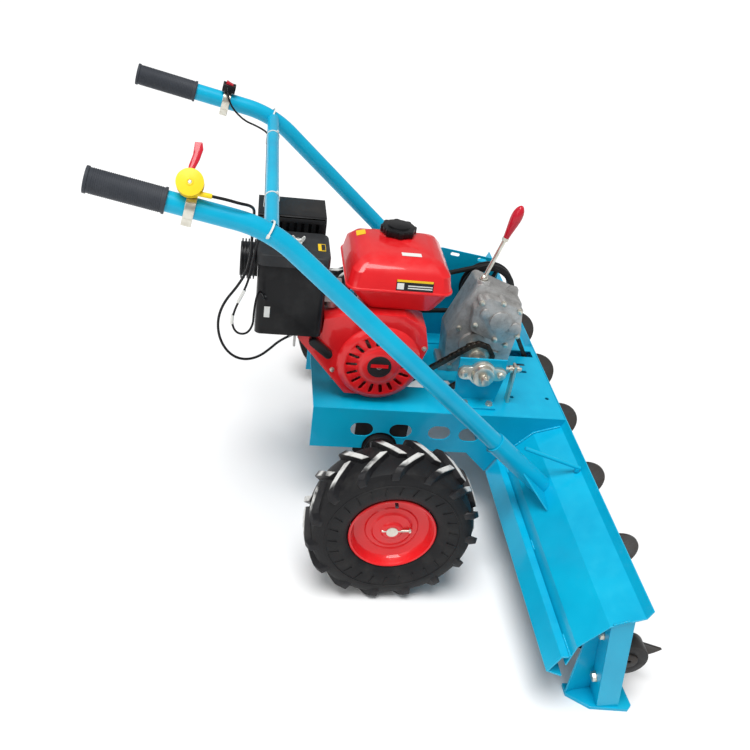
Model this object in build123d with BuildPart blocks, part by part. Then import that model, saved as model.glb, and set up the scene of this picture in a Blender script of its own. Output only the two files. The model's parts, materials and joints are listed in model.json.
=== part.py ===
from build123d import *
from math import cos, hypot, pi, radians, sin, sqrt, tan
import os

# A walk-behind auger machine: a petrol engine and gearbox on a narrow deck over one axle,
# with a wide cross screw under a folded hood in front.  Millimetres.  +X is the direction of
# travel, +Y the machine's left, +Z up.  The origin is on the ground, under the middle of the
# bounding box.  "right" pieces are at -Y, "left" pieces at +Y.

os.makedirs("parts", exist_ok=True)

SIDES = {"right": -1, "left": 1}
SHEET = 3.0

# axle and wheels
AXLE_X = 30.0
TYRE_R = 187.0
TYRE_WIDTH = 112.0
TRACK_HALF = 416.0
RIM_R = 94.0
RIM_WIDTH = 88.0
AXLE_R = 12.5
AXLE_HALF = TRACK_HALF + 38

# deck and its side plates
DECK_TOP = 294.0
DECK_HALF = 162.0
DECK_REAR = AXLE_X - 166
SIDE_BOTTOM = DECK_TOP - 113

# hood: its upper outline across the machine, from the front lip round to the rear wall
HOOD_HALF = 751.0
LIP_X = AXLE_X + 438
HOOD_LINE = [
    (LIP_X, DECK_TOP),
    (LIP_X - 8, DECK_TOP - 20),
    (LIP_X - 72, DECK_TOP - 44),
    (LIP_X - 121, DECK_TOP - 100),
    (LIP_X - 131, DECK_TOP - 152),
]

# auger screw
AUGER_X = 472.0
AUGER_Z = 136.0
AUGER_R = 114.0
AUGER_TUBE_R = 30.0
AUGER_BORE_R = 26.0
AUGER_PITCH = 236.0
AUGER_PHASE = 34.0
FLIGHT_T = 5.0
FLIGHT_END = 672.0
JOURNAL_R = 17.5

# end posts, shoes and end plates
POST_NEAR = 745.0
POST_DEPTH = 60.0
POST_T = 4.0
POST_WIDTH = 43.0
POST_LEAN = 0.158
POST_REAR_X = 401.5
POST_TOP_Z = 248.0
SHOE_T = 8.0
BEARING_WIDTH = 38.0
BEARING_BOLT = 63.5

# handlebar
BAR_R = 19.0
BAR_WALL = 2.5
BAR_HALF = 332.0
GRIP_END_X = 4.5 - (AUGER_X + AUGER_R)
GRIP_LEN = 138.0
BEND_X = -265.0
BEND_Z = 798.0
BEND_R = 110.0
BAR_REAR_SLOPE = 0.2
BAR_FOOT = (377.2, 228.5)
SOCKET_R = 23.0
SOCKET_LEN = 175.0
CROSSBAR_X = -262.0
CROSSBAR_Z = 791.5
CROSSBAR_R = 13.5
THROTTLE_X = -406.0
SWITCH_X = -376.0

# engine
CRANK_X = 4.0
CRANK_Z = DECK_TOP + 106
CRANK_R = 12.5
FAN_FRONT = -130.0
FAN_BACK = -60.0
RECOIL_FRONT = -146.0
BELT_Y = 165.0
ENGINE_PULLEY_R = 37.0
PTO_FACE = 80.0
CYLINDER_TILT = 25.0
TANK_SEAM_Z = 582.0

# gearbox and its shafts
INPUT_X = 305.0
INPUT_Z = 460.0
INPUT_PULLEY_R = 70.0
OUTPUT_X = 255.0
OUTPUT_Z = 377.0
SHAFT_R = 10.0
GEARBOX_NEAR = 20.0
GEARBOX_FAR = 100.0
LEVER_X = 255.0
LEVER_Y = 40.0
LEVER_Z = 549.0

# chains, of one half-inch pitch
CHAIN_PITCH = 12.7
ROLLER_R = 4.25
TOOTH_WIDTH = 5.6
DRIVE_CHAIN_Y = -42.0
AUGER_CHAIN_Y = 125.0
CHAIN_GAP = 22.0
INPUT_TEETH = 14
AUGER_TEETH = 22
OUTPUT_TEETH = 18
AXLE_TEETH = 22

# gaps: round a turning shaft, and between pieces that only lie close together
RUN_GAP = 0.05
GAP = 0.5


def finish(builder, name):
    """Label a finished piece and write it as its own STEP file."""
    builder.part.label = name
    export_step(builder.part, f"parts/{name}.step")


def across(y):
    """A drawing plane that faces -Y, with +X to the right and +Z up, at the given Y."""
    return Plane(origin=(0, y, 0), x_dir=(1, 0, 0), z_dir=(0, -1, 0))


def face_of(points, plane, corner=0):
    """A flat face with straight edges on a plane, with its corners rounded if a radius is given."""
    with BuildSketch(plane) as drawn:
        with BuildLine():
            Polyline(*points, close=True)
        make_face()
        if corner:
            fillet(drawn.vertices(), corner)
    return drawn.sketch


def slab(points, y_low, y_high, corner=0, mode=Mode.ADD):
    """A plate that stands across Y: its outline in X and Z, between two values of Y."""
    extrude(face_of(points, across(y_high), corner), amount=y_high - y_low, mode=mode)


def block(low, high, mode=Mode.ADD):
    """An upright box between two opposite corners."""
    centre = tuple((a + b) / 2 for a, b in zip(low, high))
    with Locations(centre):
        Box(*(b - a for a, b in zip(low, high)), mode=mode)


def bar(start, end, radius, mode=Mode.ADD):
    """A round bar, or a round hole, from one point to another."""
    along = Vector(*end) - Vector(*start)
    with BuildSketch(Plane(origin=start, z_dir=along)) as section:
        Circle(radius)
    extrude(section.sketch, amount=along.length, mode=mode)


def bar_y(x, z, radius, y_low, y_high, mode=Mode.ADD):
    """A round bar, or a round hole, along Y."""
    bar((x, y_low, z), (x, y_high, z), radius, mode)


def inner_points(points, thickness):
    """The corners of a line set in to the left of the given line by the sheet's thickness."""
    corners = []
    last = len(points) - 1
    for index, point in enumerate(points):
        here = Vector(*point)
        run_in = here - Vector(*points[index - 1]) if index > 0 else Vector(*points[1]) - here
        run_out = Vector(*points[index + 1]) - here if index < last else run_in
        left_in = Vector(-run_in.Y, run_in.X).normalized()
        left_out = Vector(-run_out.Y, run_out.X).normalized()
        middle = (left_in + left_out).normalized()
        corners.append(here + middle * (thickness / middle.dot(left_in)))
    return [(corner.X, corner.Y) for corner in corners]


def bent_sheet(points, thickness):
    """The closed outline of a bent sheet: along its outer line and back along the inner one."""
    return [*points, *reversed(inner_points(points, thickness))]


def round_loop(centre_a, radius_a, centre_b, radius_b):
    """The closed line round two circles: two straight runs and an arc outside each circle."""
    a = Vector(*centre_a)
    b = Vector(*centre_b)
    along = (b - a).normalized()
    side = Vector(-along.Y, along.X)
    cosine = (radius_a - radius_b) / (b - a).length
    sine = sqrt(1 - cosine**2)
    up = along * cosine + side * sine
    down = along * cosine - side * sine
    with BuildLine() as loop:
        Line(a + up * radius_a, b + up * radius_b)
        ThreePointArc(b + up * radius_b, b + along * radius_b, b + down * radius_b)
        Line(b + down * radius_b, a + down * radius_a)
        ThreePointArc(a + down * radius_a, a - along * radius_a, a + up * radius_a)
    return loop.edges()


def band(centre_a, radius_a, centre_b, radius_b, half_height, y_low, y_high):
    """A flat endless band round two wheels, between two values of Y."""
    with BuildSketch(across(y_high)) as ring:
        make_face(round_loop(centre_a, radius_a + half_height, centre_b, radius_b + half_height))
        inside = round_loop(centre_a, radius_a - half_height, centre_b, radius_b - half_height)
        make_face(inside, mode=Mode.SUBTRACT)
    extrude(ring.sketch, amount=y_high - y_low)


def pitch_radius(teeth):
    """The radius on which a sprocket carries the chain's pins."""
    return CHAIN_PITCH / (2 * sin(pi / teeth))


def sprocket(x, z, y, teeth):
    """A sprocket's toothed plate: a disc with a round seat for each roller."""
    with BuildSketch(across(y + TOOTH_WIDTH / 2)) as plate:
        with Locations((x, z)):
            Circle(pitch_radius(teeth) + 2.8)
            with PolarLocations(pitch_radius(teeth), teeth):
                Circle(ROLLER_R + 0.2, mode=Mode.SUBTRACT)
    extrude(plate.sketch, amount=TOOTH_WIDTH)


def chain_plates(centre_a, teeth_a, centre_b, teeth_b, y):
    """A chain's two rows of side plates, clear of the sprocket teeth that run between them."""
    for low in (y - 5.6, y + 4.0):
        band(centre_a, pitch_radius(teeth_a), centre_b, pitch_radius(teeth_b), 5.6, low, low + 1.6)


def hood_under(x):
    """The height of the hood's underside over a point of its front facet."""
    (x_front, z_front), (x_rear, z_rear) = HOOD_LINE[1], HOOD_LINE[2]
    slope = (z_front - z_rear) / (x_front - x_rear)
    return z_rear + (x - x_rear) * slope - SHEET * sqrt(1 + slope**2)


def post_x(z):
    """The post's rear face at a height: it leans back as it rises."""
    return POST_REAR_X + POST_LEAN * (POST_TOP_Z - z)


# ---------------------------------------------------------------- deck

with BuildPart() as deck_plate:
    block((DECK_REAR, -DECK_HALF, DECK_TOP - SHEET), (LIP_X - 2, DECK_HALF, DECK_TOP))
    # openings for the two chains, small fixing holes and adjusting slots
    block((78, -62, DECK_TOP - 5), (238, -22, DECK_TOP + 5), Mode.SUBTRACT)
    block((325, 110, DECK_TOP - 5), (455, 140, DECK_TOP + 5), Mode.SUBTRACT)
    with Locations((353, -81, DECK_TOP), (443, -80, DECK_TOP)):
        Cylinder(5, 20, mode=Mode.SUBTRACT)
    for slot_x, slot_y in ((408, 71), (405, 37)):
        block((slot_x - 14, slot_y - 5, DECK_TOP - 5), (slot_x + 14, slot_y + 5, DECK_TOP + 5), Mode.SUBTRACT)
finish(deck_plate, "deck_plate")

SIDE_OUTLINE = [
    (DECK_REAR, DECK_TOP),
    *HOOD_LINE[:4],
    (LIP_X - 125.2, DECK_TOP - 121),
    (322, 169),
    (300, 125),
    (243, SIDE_BOTTOM),
    (DECK_REAR + 1, SIDE_BOTTOM),
]
with BuildPart() as side_plates:
    for side in SIDES.values():
        y_low = min(side * DECK_HALF, side * (DECK_HALF + SHEET))
        slab(SIDE_OUTLINE, y_low, y_low + SHEET)
        with BuildSketch(across(y_low + SHEET + 1)) as lightening:
            with Locations((-17, 236), (75, 236), (168, 236), (243, 234)):
                SlotOverall(53, 38)
            with Locations((306, 196)):
                Circle(13.5)
            with Locations((AXLE_X, TYRE_R)):
                Circle(42)
            with Locations((AXLE_X, TYRE_R - 30)):
                Rectangle(84, 60)
        extrude(lightening.sketch, amount=SHEET + 2, mode=Mode.SUBTRACT)
finish(side_plates, "side_plates")

# ---------------------------------------------------------------- hood and its ends

with BuildPart() as hood:
    slab(bent_sheet(HOOD_LINE, SHEET), -HOOD_HALF, HOOD_HALF)
    # the auger chain comes down through the hood here
    block((362, 110, 200), (458, 140, 290), Mode.SUBTRACT)
finish(hood, "hood")

ANGLE_LINE = [(LIP_X - 127.9, 166), (324, 165), (304, 123), (337, 108)]
with BuildPart() as hood_angle:
    slab(bent_sheet(ANGLE_LINE, 4), -HOOD_HALF, HOOD_HALF)
finish(hood_angle, "hood_angle")

LEAN_LENGTH = hypot(POST_LEAN, 1)
FLANGE_X = POST_T * LEAN_LENGTH
with BuildPart() as end_posts:
    foot_x = post_x(SHOE_T)
    front_x = POST_REAR_X + POST_WIDTH
    web = [
        (foot_x, SHOE_T),
        (foot_x + POST_WIDTH + 3, SHOE_T),
        (front_x, hood_under(front_x) - 0.3),
        (POST_REAR_X, POST_TOP_Z),
    ]
    slab(web, -POST_NEAR, POST_T - POST_NEAR)
    flange = [
        (foot_x, SHOE_T),
        (foot_x + FLANGE_X, SHOE_T),
        (POST_REAR_X + FLANGE_X, POST_TOP_Z),
        (POST_REAR_X, POST_TOP_Z),
    ]
    slab(flange, POST_T - POST_NEAR, POST_DEPTH - POST_NEAR)
    mirror(about=Plane.XZ)
finish(end_posts, "end_posts")

SHOE_OUTLINE = [(383, -715), (426, -746), (504, -752), (514, -742), (511, -690), (383, -690)]
with BuildPart() as shoes:
    extrude(face_of(SHOE_OUTLINE, Plane.XY), amount=SHOE_T)
    mirror(about=Plane.XZ)
finish(shoes, "shoes")

# the folded plate that closes the hood's end behind each post
END_PLAN = [(384, -712), (404, -705), (438, -700)]
with BuildPart() as end_plates:
    extrude(face_of(bent_sheet(END_PLAN, 4), Plane.XY.offset(SHOE_T)), amount=230)
    in_front_of_post = [(post_x(0), 0), (post_x(260), 260), (520, 260), (520, 0)]
    slab(in_front_of_post, -760, -640, mode=Mode.SUBTRACT)
    above_top_edge = [(340, 170), (384, 226), (404, 180), (440, 188), (440, 300), (340, 300)]
    slab(above_top_edge, -760, -640, mode=Mode.SUBTRACT)
    mirror(about=Plane.XZ)
finish(end_plates, "end_plates")

# pillow blocks, bolted to the front of each post's flange and leaning with it
BEARING_HEIGHT = (AUGER_X - post_x(AUGER_Z)) / LEAN_LENGTH - POST_T - RUN_GAP
BEARING_PLANE = Plane(
    origin=(AUGER_X, BEARING_WIDTH - 735, AUGER_Z),
    x_dir=(1 / LEAN_LENGTH, 0, POST_LEAN / LEAN_LENGTH),
    z_dir=(0, -1, 0),
)
with BuildPart() as auger_bearings:
    with BuildSketch(BEARING_PLANE):
        with BuildLine():
            Polyline(
                (-BEARING_HEIGHT, -83),
                (-BEARING_HEIGHT + 15, -83),
                (-BEARING_HEIGHT + 19, -52),
                (-8, -38),
                (-8, 38),
                (-BEARING_HEIGHT + 19, 52),
                (-BEARING_HEIGHT + 15, 83),
                (-BEARING_HEIGHT, 83),
                close=True,
            )
        make_face()
        Circle(40)
        Circle(JOURNAL_R + RUN_GAP, mode=Mode.SUBTRACT)
    extrude(amount=BEARING_WIDTH)
    mirror(about=Plane.XZ)
finish(auger_bearings, "auger_bearings")

# ---------------------------------------------------------------- auger screw

with BuildPart() as auger_tube:
    bar_y(AUGER_X, AUGER_Z, AUGER_TUBE_R, -678, 678)
    bar_y(AUGER_X, AUGER_Z, JOURNAL_R, -738, 738)
    bar_y(AUGER_X, AUGER_Z, AUGER_BORE_R, -640, 640, Mode.SUBTRACT)
    bar_y(AUGER_X, AUGER_Z, 4, -740, 740, Mode.SUBTRACT)
    sprocket(AUGER_X, AUGER_Z, AUGER_CHAIN_Y, AUGER_TEETH)
    bar_y(AUGER_X, AUGER_Z, AUGER_BORE_R, -640, 640, Mode.SUBTRACT)
finish(auger_tube, "auger_tube")


def flight(y_start, y_end):
    """One right-hand helical blade round the auger's tube, between two values of Y."""
    middle = (AUGER_R + AUGER_TUBE_R) / 2
    with BuildPart() as blade:
        with BuildLine():
            Helix(pitch=AUGER_PITCH, height=y_end - y_start, radius=middle)
        with BuildSketch(Plane.XZ):
            with Locations((middle, 0)):
                Rectangle(AUGER_R - AUGER_TUBE_R - 0.4, FLIGHT_T)
        sweep(is_frenet=True)
    turned = -AUGER_PHASE + 360 * y_start / AUGER_PITCH
    lie_along_y = Location((AUGER_X, y_start, AUGER_Z), (-90, 0, 0))
    return lie_along_y * Location((0, 0, 0), (0, 0, turned)) * blade.part


right_flight = flight(-FLIGHT_END, AUGER_CHAIN_Y - CHAIN_GAP)
left_flight = flight(AUGER_CHAIN_Y + CHAIN_GAP, FLIGHT_END)
with BuildPart() as auger_flights:
    add(right_flight)
    add(left_flight)
finish(auger_flights, "auger_flights")

# ---------------------------------------------------------------- wheels and axle

with BuildPart() as axle_shaft:
    bar_y(AXLE_X, TYRE_R, AXLE_R, -AXLE_HALF, AXLE_HALF)
    sprocket(AXLE_X, TYRE_R, DRIVE_CHAIN_Y, AXLE_TEETH)
    bar_y(AXLE_X, TYRE_R, 24, DRIVE_CHAIN_Y + TOOTH_WIDTH / 2, DRIVE_CHAIN_Y + 26)
finish(axle_shaft, "axle_shaft")

with BuildPart() as axle_hangers:
    for side in SIDES.values():
        plate_low = min(side * (DECK_HALF - 6), side * DECK_HALF)
        slab(
            [(-32, 286), (92, 286), (92, 170), (62, 136), (-2, 136), (-32, 170)],
            plate_low,
            plate_low + 6,
        )
        boss_low = min(side * (DECK_HALF - 6), side * (DECK_HALF + 16))
        bar_y(AXLE_X, TYRE_R, 36, boss_low, boss_low + 22)
        bar_y(AXLE_X, TYRE_R, AXLE_R + RUN_GAP, boss_low - 1, boss_low + 23, Mode.SUBTRACT)
finish(axle_hangers, "axle_hangers")

RIM_HALF_PROFILE = [
    (AXLE_R + RUN_GAP, -54),
    (21, -54),
    (21, -13),
    (70, -20),
    (76, -RIM_WIDTH / 2),
    (RIM_R, -RIM_WIDTH / 2),
    (RIM_R, -RIM_WIDTH / 2 + 3),
    (80, -RIM_WIDTH / 2 + 4),
    (78, -10),
    (78, 10),
    (80, RIM_WIDTH / 2 - 4),
    (RIM_R, RIM_WIDTH / 2 - 3),
    (RIM_R, RIM_WIDTH / 2),
    (76, RIM_WIDTH / 2),
    (74, 0),
    (70, -16),
    (21, -9),
    (21, 54),
    (AXLE_R + RUN_GAP, 54),
]
wheel_plane = Plane(origin=(AXLE_X, -TRACK_HALF, TYRE_R), x_dir=(1, 0, 0), z_dir=(0, 0, 1))
wheel_axis = Axis((AXLE_X, 0, TYRE_R), (0, 1, 0))
with BuildPart() as wheel_rims:
    revolve(face_of(RIM_HALF_PROFILE, wheel_plane), axis=wheel_axis)
    mirror(about=Plane.XZ)
finish(wheel_rims, "wheel_rims")

TYRE_PROFILE = [
    (82, -39.5),
    (98, -39.5),
    (100, -47),
    (125, -TYRE_WIDTH / 2),
    (160, -TYRE_WIDTH / 2),
    (TYRE_R, -44),
    (TYRE_R, 44),
    (160, TYRE_WIDTH / 2),
    (125, TYRE_WIDTH / 2),
    (100, 47),
    (98, 39.5),
    (82, 39.5),
    (84, 30),
    (104, 36),
    (128, 46),
    (156, 46),
    (168, 30),
    (168, -30),
    (156, -46),
    (128, -46),
    (104, -36),
    (84, -30),
]
with BuildPart() as tyres:
    revolve(face_of(TYRE_PROFILE, wheel_plane), axis=wheel_axis)
    mirror(about=Plane.XZ)
finish(tyres, "tyres")

# ---------------------------------------------------------------- handlebar

GRIP_END_Z = BEND_Z + BAR_REAR_SLOPE * (BEND_X - GRIP_END_X)
SLOPE_LENGTH = hypot(1, BAR_REAR_SLOPE)
BAR_BACK = Vector(-1 / SLOPE_LENGTH, 0, BAR_REAR_SLOPE / SLOPE_LENGTH)
FOOT = Vector(BAR_FOOT[0], 0, BAR_FOOT[1])
BAR_DOWN = (FOOT - Vector(BEND_X, 0, BEND_Z)).normalized()


def bar_point(x, side):
    """A point on a handle tube's centre line, on its straight rear stretch."""
    return Vector(x, side * BAR_HALF, BEND_Z + BAR_REAR_SLOPE * (BEND_X - x))


def handle_rod(side, radius):
    """A solid rod along a whole handle tube, from the grip's end to the foot."""
    start = bar_point(GRIP_END_X + 5, side)
    foot = FOOT - BAR_DOWN * GAP + Vector(0, side * BAR_HALF, 0)
    with BuildPart() as rod:
        with BuildLine() as route:
            FilletPolyline(start, (BEND_X, side * BAR_HALF, BEND_Z), foot, radius=BEND_R)
        with BuildSketch(Plane(origin=route.line @ 0, z_dir=route.line % 0)):
            Circle(radius)
        sweep()
    return rod.part


for name, side in SIDES.items():
    rod = handle_rod(side, BAR_R)
    hollow = handle_rod(side, BAR_R - BAR_WALL)
    with BuildPart() as handle_tube:
        add(rod)
        add(hollow, mode=Mode.SUBTRACT)
    finish(handle_tube, f"handle_tube_{name}")

    with BuildPart() as grip:
        start = bar_point(GRIP_END_X, side)
        bar(start, start - BAR_BACK * GRIP_LEN, BAR_R + 3.2)
        bar(start, start - BAR_BACK * 6, BAR_R + 5)
        bar(start - BAR_BACK * (GRIP_LEN - 5), start - BAR_BACK * GRIP_LEN, BAR_R + 5)
        bar(start - BAR_BACK * 4, start - BAR_BACK * (GRIP_LEN + 5), BAR_R + RUN_GAP, Mode.SUBTRACT)
    finish(grip, f"grip_{name}")

with BuildPart() as crossbar:
    bar_y(CROSSBAR_X, CROSSBAR_Z, CROSSBAR_R, -BAR_HALF, BAR_HALF)
    bar_y(CROSSBAR_X, CROSSBAR_Z, CROSSBAR_R - 2, -BAR_HALF - 1, BAR_HALF + 1, Mode.SUBTRACT)
    for side in SIDES.values():
        add(handle_rod(side, BAR_R + RUN_GAP), mode=Mode.SUBTRACT)
finish(crossbar, "crossbar")

with BuildPart() as handle_sockets:
    for side in SIDES.values():
        foot = FOOT - BAR_DOWN * GAP + Vector(0, side * BAR_HALF, 0)
        bar(foot, foot - BAR_DOWN * SOCKET_LEN, SOCKET_R)
        bar(foot, foot - BAR_DOWN * (SOCKET_LEN + 1), BAR_R + RUN_GAP, Mode.SUBTRACT)
finish(handle_sockets, "handle_sockets")

# a triangular plate and a thin rod steady each socket on the hood
FACET = Vector(HOOD_LINE[2][0] - HOOD_LINE[3][0], 0, HOOD_LINE[2][1] - HOOD_LINE[3][1]).normalized()
with BuildPart() as handle_gussets:
    for side in SIDES.values():
        near = FOOT - BAR_DOWN * 1.5 + Vector(0, side * (BAR_HALF + SOCKET_R + 0.3), 0)
        far = FOOT - BAR_DOWN * 1.5 - FACET * 6 + Vector(0, side * (BAR_HALF + 80), 0)
        high = near - BAR_DOWN * 76
        plate_plane = Plane(origin=near, x_dir=far - near, z_dir=(far - near).cross(high - near))
        corners = [plate_plane.to_local_coords(corner) for corner in (near, far, high)]
        extrude(face_of([(corner.X, corner.Y) for corner in corners], plate_plane), amount=2, both=True)
finish(handle_gussets, "handle_gussets")

with BuildPart() as brace_rods:
    for side in SIDES.values():
        low_end = (456, side * 330, 281)
        knee = (322, side * 320, 322)
        bar(knee, low_end, 4.5)
        bar((450, side * 330, 272.8), (450, side * 330, 281), 6)
finish(brace_rods, "brace_rods")


def bar_plane(x, side):
    """A plane square to a handle tube's rear stretch, facing the grip, with its Y axis up."""
    return Plane(origin=bar_point(x, side), x_dir=(0, -1, 0), z_dir=BAR_BACK)


# throttle: a round body on a clamp, a lever between its two discs
DIAL_R = 24.0
DIAL_CENTRE = Vector(THROTTLE_X, -BAR_HALF - 1, 870)
DIAL_OUT = Vector(0, -0.8, 0.6)
DIAL_PLANE = Plane(origin=DIAL_CENTRE, x_dir=(1, 0, 0), z_dir=DIAL_OUT)
CABLE_EXIT = Vector(-368, -343, 854)
with BuildPart() as throttle_body:
    bar(DIAL_CENTRE - DIAL_OUT * 6, DIAL_CENTRE, DIAL_R)
    bar(DIAL_CENTRE, DIAL_CENTRE + DIAL_OUT * 6, 4)
    bar(DIAL_CENTRE + DIAL_OUT * 6, DIAL_CENTRE + DIAL_OUT * 12, DIAL_R)
    bar(CABLE_EXIT - Vector(26, 0, -3.4), CABLE_EXIT, 4.5)
    with BuildSketch(bar_plane(THROTTLE_X, -1).offset(-9)) as neck:
        with Locations((0, 30.5)):
            Rectangle(16, 14)
    extrude(neck.sketch, amount=18)
    bar(DIAL_CENTRE, DIAL_CENTRE + DIAL_OUT * 6, 20, Mode.SUBTRACT)
    bar(DIAL_CENTRE, DIAL_CENTRE + DIAL_OUT * 6, 4)
finish(throttle_body, "throttle_body")

LEVER_OUTLINE = [(-6, 10), (-4, 30), (2, 50), (4, 72), (17, 72), (19, 60), (14, 42), (7, 26), (6, 10)]
with BuildPart() as throttle_lever:
    with BuildSketch(DIAL_PLANE.offset(0.4)):
        with BuildLine():
            Polyline(*LEVER_OUTLINE, close=True)
        make_face()
        Circle(15)
        Circle(4 + GAP, mode=Mode.SUBTRACT)
    extrude(amount=5.2)
finish(throttle_lever, "throttle_lever")

with BuildPart() as bar_clamps:
    for clamp_x, side in ((THROTTLE_X, -1), (SWITCH_X, 1)):
        with BuildSketch(bar_plane(clamp_x, side).offset(-9)) as ring:
            Circle(BAR_R + 3)
            with Locations((0, -BAR_R - 8)):
                Rectangle(12, 16)
            Circle(BAR_R + RUN_GAP, mode=Mode.SUBTRACT)
            with Locations((0, -BAR_R - 8)):
                Rectangle(2, 20, mode=Mode.SUBTRACT)
        extrude(ring.sketch, amount=18)
finish(bar_clamps, "bar_clamps")

# engine stop switch: a block over the tube, with a rocker in a well on top
SWITCH_PLANE = bar_plane(SWITCH_X, 1)
WIRE_EXIT = Vector(-372, 312, 846)
with BuildPart() as switch_body:
    with BuildSketch(SWITCH_PLANE.offset(-15)) as block_section:
        with Locations((0, 32)):
            RectangleRounded(30, 17, 3)
    extrude(block_section.sketch, amount=30)
    with BuildSketch(SWITCH_PLANE.offset(-11)) as well_section:
        with Locations((0, 38)):
            Rectangle(16, 18)
    extrude(well_section.sketch, amount=22, mode=Mode.SUBTRACT)
    bar(WIRE_EXIT + Vector(-1.6, 8.8, 8), WIRE_EXIT, 3.5)
finish(switch_body, "switch_body")

with BuildPart() as switch_rocker:
    with BuildSketch(Plane(origin=bar_point(SWITCH_X, 1), x_dir=-BAR_BACK, z_dir=(0, -1, 0))) as side_view:
        with BuildLine():
            Polyline((-9, 39), (-8, 47), (0, 44), (8, 42), (9, 36), (0, 33), close=True)
        make_face()
    extrude(side_view.sketch, amount=7, both=True)
finish(switch_rocker, "switch_rocker")

# ---------------------------------------------------------------- engine

with BuildPart() as crankcase:
    block((-72, -55, DECK_TOP), (72, 60, CRANK_Z))
    block((-92, -50, DECK_TOP), (76, 66, DECK_TOP + 12))
    bar_y(CRANK_X, CRANK_Z, 74, -58, 62)
    bar_y(CRANK_X, CRANK_Z, 68, 62, PTO_FACE)
    block((-40, -40, 460), (70, 50, 486))
    for post_x_low in (-30, 46):
        block((post_x_low, -24, 486), (post_x_low + 20, 24, 527.5))
    bar_y(CRANK_X, CRANK_Z, CRANK_R + RUN_GAP, -60, PTO_FACE + 2, Mode.SUBTRACT)
    # oil filler boss, low on the near side
    bar((64, -20, 330), (78, -20, 334), 12)
finish(crankcase, "crankcase")

with BuildPart() as cylinder:
    tilt = radians(CYLINDER_TILT)
    axis_out = Vector(-cos(tilt), 0, sin(tilt))
    root_point = Vector(-68, 16, 432)
    for fin in range(9):
        fin_plane = Plane(origin=root_point + axis_out * (fin * 8 + 3), x_dir=(0, 1, 0), z_dir=axis_out)
        with BuildSketch(fin_plane):
            RectangleRounded(86, 86, 10)
        extrude(amount=3)
    with BuildSketch(Plane(origin=root_point + axis_out * 6, x_dir=(0, 1, 0), z_dir=axis_out)):
        Circle(33)
    extrude(amount=64)
    with BuildSketch(Plane(origin=root_point + axis_out * 70, x_dir=(0, 1, 0), z_dir=axis_out)):
        RectangleRounded(80, 76, 8)
    extrude(amount=26)
    with BuildSketch(Plane(origin=root_point + axis_out * 96, x_dir=(0, 1, 0), z_dir=axis_out)):
        RectangleRounded(64, 60, 12)
    extrude(amount=20)
    # the crankcase's round wall ends the lowest fins
    bar_y(CRANK_X, CRANK_Z, 74.2, -60, 65, Mode.SUBTRACT)
    block((-73, -60, 290), (76, 66, CRANK_Z + 0.2), Mode.SUBTRACT)
    block((-41, -60, 440), (90, 66, 530), Mode.SUBTRACT)
finish(cylinder, "cylinder")

SHROUD_OUTLINE = [
    (-186, 455),
    (-150, 412),
    (-66, 313),
    (22, 311),
    (85, 352),
    (111, 446),
    (98, 500),
    (49, 525),
    (-60, 525),
    (-130, 505),
    (-132, 469),
    (-176, 469),
]
with BuildPart() as fan_shroud:
    slab(SHROUD_OUTLINE, FAN_FRONT, FAN_BACK, corner=4)
    with BuildSketch(across(FAN_BACK + 1)) as inside:
        with BuildLine():
            Polyline(*SHROUD_OUTLINE, close=True)
        make_face()
        offset(amount=-3, kind=Kind.INTERSECTION)
    extrude(inside.sketch, amount=FAN_BACK - FAN_FRONT + 1 - 3, mode=Mode.SUBTRACT)
    bar_y(CRANK_X, CRANK_Z, 84, FAN_FRONT - 1, FAN_BACK, Mode.SUBTRACT)
finish(fan_shroud, "fan_shroud")

with BuildPart() as recoil_cover:
    with BuildSketch(Plane(origin=(CRANK_X, 0, CRANK_Z), x_dir=(1, 0, 0), z_dir=(0, 0, 1))) as dome:
        with BuildLine():
            Polyline(
                (0, RECOIL_FRONT),
                (40, RECOIL_FRONT),
                (44, RECOIL_FRONT + 3),
                (82, RECOIL_FRONT + 5),
                (92, RECOIL_FRONT + 12),
                (96, FAN_FRONT),
                (88, FAN_FRONT),
                (80, RECOIL_FRONT + 9),
                (42, RECOIL_FRONT + 7),
                (0, RECOIL_FRONT + 4),
                close=True,
            )
        make_face()
    revolve(dome.sketch, axis=Axis((CRANK_X, 0, CRANK_Z), (0, 1, 0)))
    # ring of cooling slots
    with BuildSketch(across(FAN_FRONT)) as slots:
        with Locations((CRANK_X, CRANK_Z)):
            with PolarLocations(63, 18):
                SlotOverall(26, 8)
    extrude(slots.sketch, amount=20, mode=Mode.SUBTRACT)
finish(recoil_cover, "recoil_cover")

HANDLE_X = -132.0
HANDLE_Z = 437.0
with BuildPart() as recoil_handle:
    with BuildSketch(across(FAN_FRONT - 0.6)) as grip_section:
        with Locations(Location((HANDLE_X, HANDLE_Z, 0), -40)):
            SlotOverall(66, 20)
    extrude(grip_section.sketch, amount=18)
finish(recoil_handle, "recoil_handle")

with BuildPart() as flywheel:
    bar_y(CRANK_X, CRANK_Z, 74, -110, -86)
    bar_y(CRANK_X, CRANK_Z, 62, -104, -84, Mode.SUBTRACT)
    bar_y(CRANK_X, CRANK_Z, 62, -110, -106)
    bar_y(CRANK_X, CRANK_Z, 26, -110, -70)
    for blade in range(16):
        angle = radians(360 / 16 * blade)
        inner = Vector(CRANK_X + 44 * cos(angle), 0, CRANK_Z + 44 * sin(angle))
        outer = Vector(CRANK_X + 72 * cos(angle + 0.3), 0, CRANK_Z + 72 * sin(angle + 0.3))
        side_step = (outer - inner).cross(Vector(0, 1, 0)).normalized() * 1.5
        blade_outline = [inner - side_step, outer - side_step, outer + side_step, inner + side_step]
        slab([(corner.X, corner.Z) for corner in blade_outline], -124, -109)
    bar_y(CRANK_X, CRANK_Z, CRANK_R + RUN_GAP, -111, -60, Mode.SUBTRACT)
finish(flywheel, "flywheel")

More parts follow.
